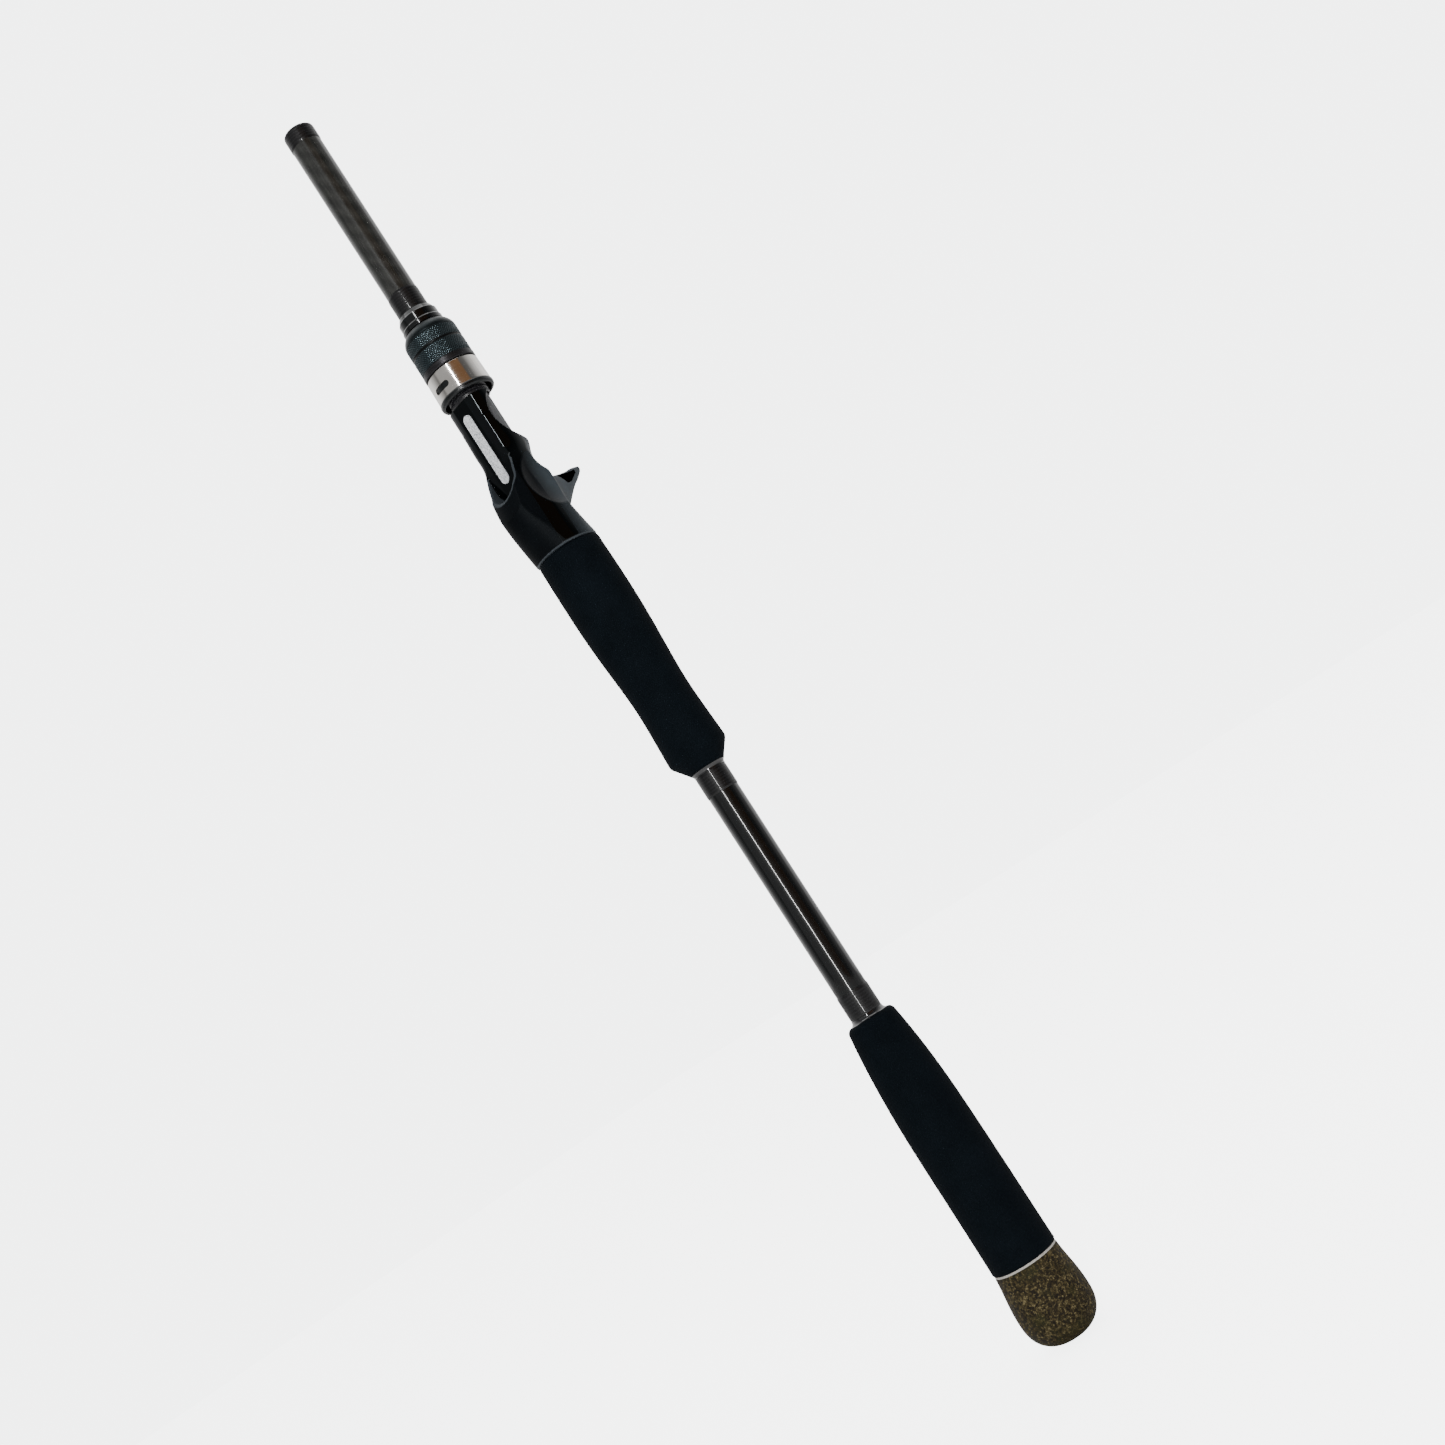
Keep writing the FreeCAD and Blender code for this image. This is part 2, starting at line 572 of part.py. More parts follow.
if __name__ == "__main__":
    os.makedirs("parts", exist_ok=True)
    for name, make in PIECES.items():
        shape = make()
        shape.exportStep("parts/%s.step" % name)
        print("%-20s valid %s  solids %d  volume %.1f"
              % (name, shape.isValid(), len(shape.Solids), shape.Volume))
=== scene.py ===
import json
import math

import bpy
import numpy as np
from mathutils import Matrix, Vector


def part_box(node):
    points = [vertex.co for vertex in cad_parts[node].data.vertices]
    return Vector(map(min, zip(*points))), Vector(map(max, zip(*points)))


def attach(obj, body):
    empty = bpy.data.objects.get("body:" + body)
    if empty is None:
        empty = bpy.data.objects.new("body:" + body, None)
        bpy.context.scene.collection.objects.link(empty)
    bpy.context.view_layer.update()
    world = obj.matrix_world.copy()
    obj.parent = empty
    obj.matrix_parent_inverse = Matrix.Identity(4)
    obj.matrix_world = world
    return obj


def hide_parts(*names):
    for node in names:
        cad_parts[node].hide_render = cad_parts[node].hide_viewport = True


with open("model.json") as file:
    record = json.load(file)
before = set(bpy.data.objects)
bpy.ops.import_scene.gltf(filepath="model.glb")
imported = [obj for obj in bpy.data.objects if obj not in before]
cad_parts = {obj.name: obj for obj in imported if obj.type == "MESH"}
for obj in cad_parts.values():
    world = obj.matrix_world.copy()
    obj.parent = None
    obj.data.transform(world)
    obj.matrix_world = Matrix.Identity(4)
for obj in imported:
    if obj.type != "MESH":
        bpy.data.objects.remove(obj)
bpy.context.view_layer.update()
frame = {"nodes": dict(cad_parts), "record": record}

# A detachable casting-rod handle stands on its butt.  +Z runs to the tip end, the reel deck faces -Y
# and the trigger points to +Y.  Everything is in metres; MM turns millimetres into metres.
MM = 0.001
NODES = frame["nodes"]
RNG = np.random.default_rng(7)


def node_z(node):
    """Lowest and highest height of a CAD node."""
    low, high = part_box(node)
    return low.z, high.z


def node_r(node):
    """Outer radius of a round CAD node."""
    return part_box(node)[1].x


def grey(value):
    return (value, value, value)


def fill_ramp(node, stops):
    """Set a colour ramp's stops from (position, colour) pairs."""
    elements = node.color_ramp.elements
    while len(elements) < len(stops):
        elements.new(0.5)
    for element, (position, colour) in zip(elements, stops):
        element.position = position
        element.color = (*colour, 1)


def colour_sockets(sockets):
    """The colour sockets of a mix node, leaving out its factors, numbers and vectors."""
    return [socket for socket in sockets if socket.type == "RGBA"]


# -------- camera, light and floor

FOCAL_MM = 44.84
SENSOR_MM = 36.0
VIEW_AZIMUTH = math.radians(37.0)  # from the deck's normal towards +X
VIEW_TILT = math.radians(7.5)  # the camera looks up by this much
VIEW_ROLL = math.radians(33.0)  # the tip end leans this far to the left of upright
CAMERA_REACH = 708 * MM  # horizontal distance from the tube's axis
CAMERA_ASIDE = 14.56 * MM  # how far right of the axis the camera stands
CAMERA_HEIGHT = 175.1 * MM


def camera_basis():
    """Unit vectors towards the camera and to its right, before the roll."""
    toward = Vector((math.sin(VIEW_AZIMUTH), -math.cos(VIEW_AZIMUTH), 0))
    right = Vector((math.cos(VIEW_AZIMUTH), math.sin(VIEW_AZIMUTH), 0))
    return toward, right


def add_camera():
    toward, right = camera_basis()
    up = toward * math.sin(VIEW_TILT) + Vector((0, 0, 1)) * math.cos(VIEW_TILT)
    forward = -toward * math.cos(VIEW_TILT) + Vector((0, 0, 1)) * math.sin(VIEW_TILT)
    c, s = math.cos(VIEW_ROLL), math.sin(VIEW_ROLL)
    cam_x = right * c - up * s
    cam_y = right * s + up * c
    place = toward * CAMERA_REACH + right * CAMERA_ASIDE + Vector((0, 0, CAMERA_HEIGHT))
    matrix = Matrix((cam_x, cam_y, -forward)).transposed().to_4x4()
    matrix.translation = place
    data = bpy.data.cameras.new("camera")
    data.lens = FOCAL_MM
    data.sensor_width = SENSOR_MM
    data.clip_start = 0.01
    camera = bpy.data.objects.new("camera", data)
    camera.matrix_world = matrix
    bpy.context.scene.collection.objects.link(camera)
    bpy.context.scene.camera = camera


def add_area_light(name, place, target, size, power):
    data = bpy.data.lights.new(name, "AREA")
    data.shape = "RECTANGLE"
    data.size, data.size_y = size
    data.energy = power
    light = bpy.data.objects.new(name, data)
    light.location = place
    aim = Vector(target) - Vector(place)
    light.rotation_euler = aim.to_track_quat("-Z", "Y").to_euler()
    bpy.context.scene.collection.objects.link(light)


KEY_TARGET = (0, 0, 0.33)  # a height a little above the handle's middle
KEY_AWAY = 1.0  # how far the strip is from its target towards the camera,
KEY_LEFT = 0.06  # to the left of that line
KEY_ABOVE = 0.12  # and above the target
KEY_SIZE = (0.03, 0.9)
KEY_WATTS = 10
OVERHEAD_Z = 2.0
OVERHEAD_SIZE = (1.6, 1.6)
OVERHEAD_WATTS = 14


def add_lights():
    """A narrow strip on the camera's side draws the long highlight; a soft panel hangs overhead."""
    toward, right = camera_basis()
    target = Vector(KEY_TARGET)
    place = target + toward * KEY_AWAY - right * KEY_LEFT + Vector((0, 0, KEY_ABOVE))
    add_area_light("key_strip", place, target, KEY_SIZE, KEY_WATTS)
    add_area_light("overhead_soft", (0, 0, OVERHEAD_Z), (0, 0, 0), OVERHEAD_SIZE, OVERHEAD_WATTS)


ROOM_BEHIND = 1.4  # brightness of the white room behind the object,
ROOM_SIDE = 0.55  # beside it,
ROOM_NEAR = 0.16  # a little towards the camera
ROOM_FRONT = 0.06  # and of the dim camera side
FLOOR_GLOW = 4.6
BACKDROP = 5.0  # what the camera sees directly is overexposed
WHITE = (0.985, 1.0, 1.0)  # and very slightly cool
SOFTBOX = 0.5  # brightness of the large soft light left of the camera
SOFTBOX_WAY = (math.radians(-32), math.radians(14))  # turned this far to the right, raised this far
SOFTBOX_EDGE = (0.88, 0.93)  # it fades in between these nearnesses
WARM_WAY = (math.radians(25), math.radians(9))  # a dim, warm patch lies to the right
WARM_EDGE = (0.94, 0.952)
WARM_COLOUR = (0.22, 0.12, 0.06)
FLOOR_HALF = 6.0  # half the floor's side
FLOOR_DROP = 0.2 * MM  # how far the floor lies under the butt


def add_world():
    """White studio: bright behind the object, dimmer in front, with a warm patch beside the camera."""
    world = bpy.data.worlds.new("studio")
    bpy.context.scene.world = world
    world.use_nodes = True
    nodes, links = world.node_tree.nodes, world.node_tree.links
    nodes.clear()
    toward, right = camera_basis()
    coord = nodes.new("ShaderNodeTexCoord").outputs["Generated"]

    def facing(direction, stops):
        """A grey ramp over nearness to a direction: 1 along it, 0.5 square to it, 0 away from it."""
        dot = nodes.new("ShaderNodeVectorMath")
        dot.operation = "DOT_PRODUCT"
        dot.inputs[1].default_value = direction
        links.new(coord, dot.inputs[0])
        ramp = nodes.new("ShaderNodeValToRGB")
        fill_ramp(ramp, stops)
        half = nodes.new("ShaderNodeMapRange")
        half.inputs["From Min"].default_value = -1
        links.new(dot.outputs["Value"], half.inputs["Value"])
        links.new(half.outputs["Result"], ramp.inputs[0])
        return ramp.outputs[0]

    room = facing(toward, [(0.22, grey(ROOM_BEHIND)), (0.5, grey(ROOM_SIDE)), (0.66, grey(ROOM_NEAR)),
                           (0.88, grey(ROOM_FRONT))])

    def laid_over(under, way, edge, colour):
        """A round patch of colour over the room, its middle turned and raised from the camera."""
        turn, lift = way
        level = toward * math.cos(turn) + right * math.sin(turn)
        mix = nodes.new("ShaderNodeMix")
        mix.data_type = "RGBA"
        middle = level * math.cos(lift) + Vector((0, 0, math.sin(lift)))
        stops = [(edge[0], grey(0.0)), (edge[1], grey(1.0))]
        links.new(facing(middle, stops), mix.inputs["Factor"])
        colours = colour_sockets(mix.inputs)
        links.new(under, colours[0])
        colours[1].default_value = (*colour, 1)
        return colour_sockets(mix.outputs)[0]

    lit = laid_over(room, SOFTBOX_WAY, SOFTBOX_EDGE, grey(SOFTBOX))
    warmed = laid_over(lit, WARM_WAY, WARM_EDGE, WARM_COLOUR)
    shade = nodes.new("ShaderNodeBackground")
    links.new(warmed, shade.inputs["Color"])
    backdrop = nodes.new("ShaderNodeBackground")
    backdrop.inputs["Color"].default_value = (*WHITE, 1)
    backdrop.inputs["Strength"].default_value = BACKDROP
    seen = nodes.new("ShaderNodeLightPath")
    choose = nodes.new("ShaderNodeMixShader")
    links.new(seen.outputs["Is Camera Ray"], choose.inputs["Fac"])
    links.new(shade.outputs[0], choose.inputs[1])
    links.new(backdrop.outputs[0], choose.inputs[2])
    out = nodes.new("ShaderNodeOutputWorld")
    links.new(choose.outputs[0], out.inputs[0])


def add_floor():
    size = FLOOR_HALF
    mesh = bpy.data.meshes.new("floor")
    mesh.from_pydata([(-size, -size, 0), (size, -size, 0), (size, size, 0), (-size, size, 0)], [],
                     [(0, 1, 2, 3)])
    floor = bpy.data.objects.new("floor", mesh)
    floor.location.z = -FLOOR_DROP
    bpy.context.scene.collection.objects.link(floor)
    mesh.materials.append(floor_paint())


# -------- shader helper

NOISE_LOW = 0.3  # noises lie mostly between these
NOISE_HIGH = 0.7
CORNER_RADIUS = 0.18 * MM  # corners sharper than this are painted lighter


class Shader:
    """A Principled material and short names for the nodes that feed it.  Textures sit in object
    coordinates, which are the frame's own."""

    def __init__(self, name, metallic=0.0):
        self.material = bpy.data.materials.new(name)
        self.material.use_nodes = True
        self.tree = self.material.node_tree
        self.bsdf = self.tree.nodes["Principled BSDF"]
        self.set("Metallic", metallic)
        self.coord = self.add("ShaderNodeTexCoord").outputs["Object"]

    def set(self, socket, value):
        self.bsdf.inputs[socket].default_value = value

    def link(self, a, b):
        self.tree.links.new(a, b)

    def add(self, kind, **inputs):
        node = self.tree.nodes.new(kind)
        for key, value in inputs.items():
            node.inputs[key].default_value = value
        return node

    def stretched(self, scale):
        """Coordinates for a directional grain."""
        mapping = self.add("ShaderNodeMapping")
        mapping.inputs["Scale"].default_value = scale
        self.link(self.coord, mapping.inputs["Vector"])
        return mapping.outputs[0]

    def noise(self, scale, detail=2.0, rough=0.5, vector=None):
        node = self.add("ShaderNodeTexNoise", Scale=scale, Detail=detail, Roughness=rough)
        self.link(vector or self.coord, node.inputs["Vector"])
        return node.outputs["Fac"]

    def voronoi(self, scale, feature="F1", output="Distance", vector=None):
        node = self.add("ShaderNodeTexVoronoi", Scale=scale)
        node.feature = feature
        self.link(vector or self.coord, node.inputs["Vector"])
        return node.outputs[output]

    def ramp(self, value, stops):
        node = self.add("ShaderNodeValToRGB")
        fill_ramp(node, stops)
        self.link(value, node.inputs[0])
        return node.outputs[0]

    def tones(self, noise, dark, light):
        return self.ramp(noise, [(NOISE_LOW, dark), (NOISE_HIGH, light)])

    def between(self, noise, low, high):
        return self.span(noise, NOISE_LOW, NOISE_HIGH, low, high)

    def span(self, value, low, high, to_low, to_high):
        ends = {"From Min": low, "From Max": high, "To Min": to_low, "To Max": to_high}
        node = self.add("ShaderNodeMapRange", **ends)
        self.link(value, node.inputs["Value"])
        return node.outputs["Result"]

    def feed(self, socket, value):
        if isinstance(value, (int, float)):
            socket.default_value = value
        elif isinstance(value, tuple):
            socket.default_value = (*value, 1)
        else:
            self.link(value, socket)

    def times(self, a, b):
        return self.math("MULTIPLY", a, b)

    def plus(self, a, b):
        return self.math("ADD", a, b)

    def math(self, operation, a, b):
        node = self.add("ShaderNodeMath")
        node.operation = operation
        for socket, value in zip(node.inputs, (a, b)):
            self.feed(socket, value)
        return node.outputs[0]

    def mix(self, factor, a, b):
        node = self.add("ShaderNodeMix")
        node.data_type = "RGBA"
        self.link(factor, node.inputs["Factor"])
        for socket, value in zip(colour_sockets(node.inputs), (a, b)):
            self.feed(socket, value)
        return colour_sockets(node.outputs)[0]

    def colour(self, value):
        self.link(value, self.bsdf.inputs["Base Color"])

    def rough(self, value):
        self.link(value, self.bsdf.inputs["Roughness"])

    def wave(self, scale, distortion, vector=None, direction="DIAGONAL"):
        node = self.add("ShaderNodeTexWave", Scale=scale, Distortion=distortion)
        node.wave_type = "BANDS"
        node.bands_direction = direction
        self.link(vector or self.coord, node.inputs["Vector"])
        return node.outputs["Fac"]

    def attribute(self, name):
        node = self.add("ShaderNodeAttribute")
        node.attribute_name = name
        return node.outputs["Fac"]

    def brightness(self, colour):
        """One of a colour's channels, as a plain random value."""
        node = self.add("ShaderNodeSeparateColor")
        self.link(colour, node.inputs[0])
        return node.outputs[0]

    def lighter_corners(self, amount):
        """From 0 on open surfaces to amount on sharp corners."""
        rounded = self.add("ShaderNodeBevel", Radius=CORNER_RADIUS)
        plain = self.add("ShaderNodeNewGeometry")
        dot = self.add("ShaderNodeVectorMath")
        dot.operation = "DOT_PRODUCT"
        self.link(rounded.outputs[0], dot.inputs[0])
        self.link(plain.outputs["Normal"], dot.inputs[1])
        return self.span(dot.outputs["Value"], 1.0, 0.8, 0.0, amount)

    def clear_coat(self, weight, roughness):
        self.set("Coat Weight", weight)
        self.set("Coat Roughness", roughness)
        return self

    def bump(self, height, strength, depth):
        """Relief as deep as depth, in millimetres, where height goes from 0 to 1."""
        node = self.add("ShaderNodeBump", Strength=strength, Distance=depth * MM)
        self.link(height, node.inputs["Height"])
        self.link(node.outputs[0], self.bsdf.inputs["Normal"])


# -------- materials

def floor_paint():
    """Matt white board, as overexposed as the room behind it."""
    s = Shader("floor_paint")
    s.set("Roughness", 0.7)
    tooth = s.noise(400, 3, 0.6)
    s.colour(s.tones(tooth, grey(0.88), grey(0.92)))
    seen = s.add("ShaderNodeLightPath").outputs["Is Camera Ray"]
    s.set("Emission Color", (*WHITE, 1))
    s.link(s.times(seen, FLOOR_GLOW), s.bsdf.inputs["Emission Strength"])
    return s.material


BARE_BLANK_FROM = 0.4  # above this height the blank is bare, below it is painted black
BLANK_BLEND = 1 * MM  # half the height over which one turns into the other


def carbon_tube_paint():
    """Carbon blank: bare and brown-grey under its coat towards the tip, gloss black below the seat."""
    s = Shader("carbon_tube")
    grain = s.noise(320, 3, 0.55, s.stretched((4, 4, 0.3)))
    tape = s.wave(75, 1.5, s.stretched((1, 0.3, 1)))
    mottle = s.plus(s.times(grain, 0.75), s.times(tape, 0.25))
    bare = s.tones(mottle, (0.0105, 0.011, 0.01), (0.023, 0.0235, 0.0215))
    black = s.tones(mottle, (0.0002, 0.0005, 0.0007), (0.0006, 0.0011, 0.0014))
    height = s.add("ShaderNodeSeparateXYZ")
    s.link(s.coord, height.inputs[0])
    above = s.span(height.outputs["Z"], BARE_BLANK_FROM - BLANK_BLEND,
                   BARE_BLANK_FROM + BLANK_BLEND, 0, 1)
    s.colour(s.mix(above, black, bare))
    s.rough(s.between(grain, 0.26, 0.36))
    s.bump(mottle, 0.02, 0.04)
    s.set("Specular IOR Level", 0.12)
    return s.clear_coat(0.8, 0.03).material


WRAP_BANDS = 250.0078  # scale of the wave texture that makes bands 1.26 mm apart


def thread_wrap_paint():
    """Black winding thread under a clear coat: fine fibre in soft bands about a millimetre apart."""
    s = Shader("thread_wrap")
    turns = s.wave(WRAP_BANDS, 0.0, direction="Z")
    fibre = s.noise(2500, 3, 0.6, s.stretched((1, 1, 3)))
    thread = s.times(turns, fibre)
    s.colour(s.ramp(thread, [(0.05, (0.0006, 0.0006, 0.0009)), (0.6, (0.0055, 0.0055, 0.0065))]))
    s.rough(s.between(fibre, 0.36, 0.52))
    s.bump(turns, 0.6, 0.06)
    s.set("Specular IOR Level", 0.2)
    return s.clear_coat(0.35, 0.05).material


def anodised_black_paint():
    """Gloss-black anodised aluminium with turning marks; its sharp corners are painted lighter."""
    s = Shader("check_black", 0.5)
    marks = s.noise(900, 2, 0.5, s.stretched((0.2, 0.2, 6)))
    corner_tone = s.lighter_corners(0.06)
    s.colour(s.mix(corner_tone, (0.002, 0.0024, 0.003), (0.05, 0.055, 0.06)))
    s.rough(s.between(marks, 0.12, 0.22))
    s.set("Specular IOR Level", 0.3)
    s.bump(marks, 0.08, 0.04)
    return s.clear_coat(0.5, 0.05).material


def nut_paint():
    """Satin blue-black anodised aluminium; the knurl's crests are polished by handling, and its grooves
    are painted nearly black as painted shade.
    """
    s = Shader("nut_metal", 0.75)
    cloud = s.noise(220, 3, 0.6)
    crest = s.span(s.attribute("crest"), 0.1, 0.95, 0, 1)
    polished = s.tones(cloud, (0.026, 0.042, 0.05), (0.044, 0.064, 0.072))
    # Painted shade: the knurl's grooves are nearly black; the crests are lighter as wear.
    s.colour(s.mix(crest, (0.0008, 0.0016, 0.002), polished))
    satin = s.between(cloud, 0.34, 0.4)
    s.rough(s.math("SUBTRACT", satin, s.times(crest, 0.22)))
    s.bump(s.noise(4200, 2), 0.1, 0.03)
    return s.material


def hood_paint():
    """Polished nickel: almost a mirror, with hairlines round it and faint smudges."""
    s = Shader("hood_metal", 1.0)
    hairline = s.noise(1600, 3, 0.7, s.stretched((0.1, 0.1, 5)))
    smudge = s.noise(120, 3, 0.6)
    s.colour(s.tones(smudge, (0.66, 0.63, 0.59), (0.76, 0.735, 0.7)))
    s.rough(s.plus(s.between(hairline, 0.02, 0.09), s.between(smudge, 0.04, 0.1)))
    s.bump(hairline, 0.02, 0.02)
    return s.material


def liner_paint():
    """Black moulded resin, satin, with a trace of flow marks."""
    s = Shader("liner_black")
    flow = s.noise(300, 3, 0.6, s.stretched((1, 1, 0.4)))
    s.colour(s.tones(flow, (0.001, 0.0018, 0.0022), (0.0024, 0.0038, 0.0044)))
    s.rough(s.between(flow, 0.24, 0.36))
    s.bump(s.noise(3500, 2), 0.04, 0.02)
    s.set("Specular IOR Level", 0.35)
    return s.material


EVEN = (1, 1, 1)
# Plain materials, each following one noise: metallic, noise (scale, detail, roughness), its stretch,
# two colours, two roughnesses, and relief (strength, depth).
GRAINED = {
    # arbors and plugs, out of sight
    "arbor_resin": (0.0, (900, 4, 0.6), EVEN, ((0.3, 0.25, 0.18), (0.42, 0.36, 0.27)),
                    (0.55, 0.75), (0.2, 0.08)),
    # the moulding's threaded barrel, dry and rubbed
    "barrel_thread": (0.0, (500, 3, 0.6), EVEN, ((0.008, 0.008, 0.01), (0.018, 0.018, 0.02)),
                      (0.28, 0.42), (0.1, 0.04)),
    # sleeve under the deck, like wrapped cloth
    "pipe_grey": (0.0, (1200, 3, 0.6), (1, 1, 0.5), ((0.04, 0.042, 0.046), (0.075, 0.077, 0.082)),
                  (0.48, 0.66), (0.25, 0.06)),
    "ring_grey": (0.8, (700, 2, 0.5), (0.2, 0.2, 8), ((0.018, 0.018, 0.02), (0.03, 0.029, 0.032)),
                  (0.3, 0.44), (0.15, 0.04)),
    # snap ring, out of sight
    "spring_steel": (1.0, (1400, 2, 0.5), (0.3, 0.3, 5), (grey(0.42), grey(0.56)), (0.22, 0.38), None),
    "trim_light": (0.0, (1500, 3, 0.6), EVEN, ((0.3, 0.28, 0.25), (0.46, 0.44, 0.4)),
                   (0.38, 0.55), None),
}


def grained_paint(name):
    metallic, grain, stretch, tones, roughness, relief = GRAINED[name]
    s = Shader(name, metallic)
    noise = s.noise(*grain, s.stretched(stretch))
    s.colour(s.tones(noise, *tones))
    s.rough(s.between(noise, *roughness))
    if relief:
        s.bump(noise, *relief)
    return s.material


def seat_paint():
    """Black moulding: gloss on the deck and side panels, soft-touch coat where the hand rests. Painted
    light: the coat on the lower flanks and the cut-out's walls is painted lighter as painted bounce
    light from the floor, the channel's bevel and the lower lip carry a painted highlight, and the
    trigger's recesses are painted near-black as painted shade.
    """
    s = Shader("seat_plastic")
    coat = s.span(s.attribute("soft_touch"), -0.12, 0.12, 0, 1)
    rim = s.span(s.attribute("satin_rim_highlight"), 0.3, 0.7, 0, 1)
    grain = s.noise(2600, 3, 0.6)
    cloud = s.noise(90, 2, 0.5)
    upper = s.tones(cloud, (0.0002, 0.0006, 0.0012), (0.0006, 0.0012, 0.002))
    # Painted bounce light: the coat on the lower flanks and the cut-out's walls is painted lighter and
    # bluer than the dome, as if lit from the white floor.
    lower = s.tones(cloud, (0.0205, 0.0275, 0.0335), (0.0275, 0.036, 0.043))
    under = s.attribute("painted_floor_bounce")
    soft_with_painted_bounce = s.mix(under, upper, lower)
    gloss = s.tones(cloud, (0.0001, 0.0003, 0.0004), (0.0003, 0.0006, 0.0008))
    hollow = s.span(s.attribute("hollow"), 0.3, 0.7, 0, 1)
    # The channel's bevel and the seat's lower lip are painted lighter grey: a painted highlight on
    # their satin finish.
    outer = s.mix(rim, s.mix(coat, gloss, soft_with_painted_bounce), (0.03, 0.036, 0.042))
    # Painted shade: the trigger's recesses are painted near-black.
    s.colour(s.mix(hollow, outer, (0.0001, 0.0002, 0.0002)))
    matt = s.math("MAXIMUM", s.times(coat, s.between(grain, 0.44, 0.58)),
                  s.times(rim, 0.36))
    s.rough(s.plus(matt, s.between(cloud, 0.03, 0.08)))
    s.bump(s.times(grain, coat), 0.22, 0.05)
    # The painted bounce light also raises the coat's specular there.
    painted_bounce_shine = s.times(s.times(under, coat), 0.3)
    shine = s.plus(s.span(coat, 0, 1, 0.24, 0.07), painted_bounce_shine)
    # Painted shade: nothing is reflected inside the trigger's recesses.
    shine = s.times(shine, s.math("SUBTRACT", 1.0, hollow))
    s.link(shine, s.bsdf.inputs["Specular IOR Level"])
    s.set("Specular Tint", (0.86, 0.95, 1.0, 1))
    return s.material


FLAKES = 3200  # to the metre


def glitter_paint():
    """Silver flake under a clear coat."""
    s = Shader("deck_glitter", 0.2)
    flake = s.voronoi(FLAKES, output="Color")
    tilt = s.voronoi(FLAKES, output="Distance")
    s.colour(s.ramp(s.brightness(flake), [(0.12, (0.3, 0.32, 0.34)), (0.45, (0.7, 0.73, 0.76)),
                                          (0.8, (0.97, 0.98, 1.0))]))
    s.rough(s.span(s.brightness(flake), 0.2, 0.8, 0.42, 0.16))
    s.bump(s.times(tilt, s.brightness(flake)), 0.5, 0.06)
    return s.clear_coat(1.0, 0.04).material


def foam_paint():
    """Sanded closed-cell foam: blue-black, matt, with cut cells 0.3 mm across."""
    s = Shader("foam_black")
    cells = s.voronoi(2900)
    fine = s.noise(5200, 3, 0.7)
    cloud = s.noise(75, 3, 0.6)
    tone = s.plus(s.times(cells, 0.45), s.times(cloud, 0.55))
    s.colour(s.ramp(tone, [(0.25, (0.0005, 0.0014, 0.0024)), (0.65, (0.0024, 0.0046, 0.0068))]))
    s.rough(s.between(fine, 0.74, 0.92))
    s.bump(s.plus(cells, s.times(fine, 0.5)), 0.45, 0.12)
    s.set("Specular IOR Level", 0.05)
    return s.material


def epoxy_paint():
    """Cured epoxy over black thread: wet-looking, with a slow ripple and tiny bubbles."""
    s = Shader("epoxy")
    ripple = s.noise(160, 2, 0.5)
    bubbles = s.ramp(s.voronoi(1500), [(0.06, grey(0.05)), (0.14, grey(0.006))])
    s.colour(s.mix(s.span(ripple, 0.55, 0.7, 0, 1), (0.006, 0.006, 0.007), bubbles))
    s.rough(s.between(ripple, 0.03, 0.09))
    s.bump(ripple, 0.12, 0.15)
    return s.clear_coat(0.6, 0.02).material


CORK_CHIPS = 1250  # chips to the metre
CORK_WARP = 1.6  # how far the chips' outlines wander


def cork_paint():
    """Rubberised cork: chips about a millimetre long, some olive or pale, in a dark binder."""
    s = Shader("rubber_cork")
    warp = s.add("ShaderNodeVectorMath")
    warp.operation = "MULTIPLY_ADD"
    warp_noise = s.add("ShaderNodeTexNoise", Scale=420.0, Detail=3.0)
    s.link(s.coord, warp_noise.inputs["Vector"])
    s.link(warp_noise.outputs["Color"], warp.inputs[0])
    warp.inputs[1].default_value = grey(CORK_WARP * MM)
    s.link(s.coord, warp.inputs[2])
    where = warp.outputs[0]
    chip = s.brightness(s.voronoi(CORK_CHIPS, output="Color", vector=where))
    crumb = s.brightness(s.voronoi(2 * CORK_CHIPS, output="Color", vector=where))
    gap = s.voronoi(CORK_CHIPS, feature="DISTANCE_TO_EDGE", vector=where)
    tone = s.plus(s.times(chip, 0.6), s.times(crumb, 0.4))
    body = s.ramp(tone, [(0.22, (0.006, 0.004, 0.0012)), (0.4, (0.018, 0.0125, 0.004)),
                         (0.58, (0.038, 0.0285, 0.0105)), (0.74, (0.072, 0.056, 0.023)),
                         (0.88, (0.15, 0.12, 0.058))])
    olive = s.span(s.noise(110, 2, 0.5), 0.52, 0.68, 0, 0.55)
    tinted = s.mix(olive, body, (0.026, 0.027, 0.007))
    binder = s.span(gap, 0.0, 0.1, 0.75, 0)
    s.colour(s.mix(binder, tinted, (0.005, 0.004, 0.0018)))
    s.rough(s.span(tone, 0.2, 0.8, 0.62, 0.82))
    relief = s.plus(s.times(s.span(gap, 0, 0.2, 0, 1), 0.6), tone)
    s.bump(relief, 0.5, 0.18)
    s.set("Specular IOR Level", 0.15)
    return s.material


# -------- mesh pieces

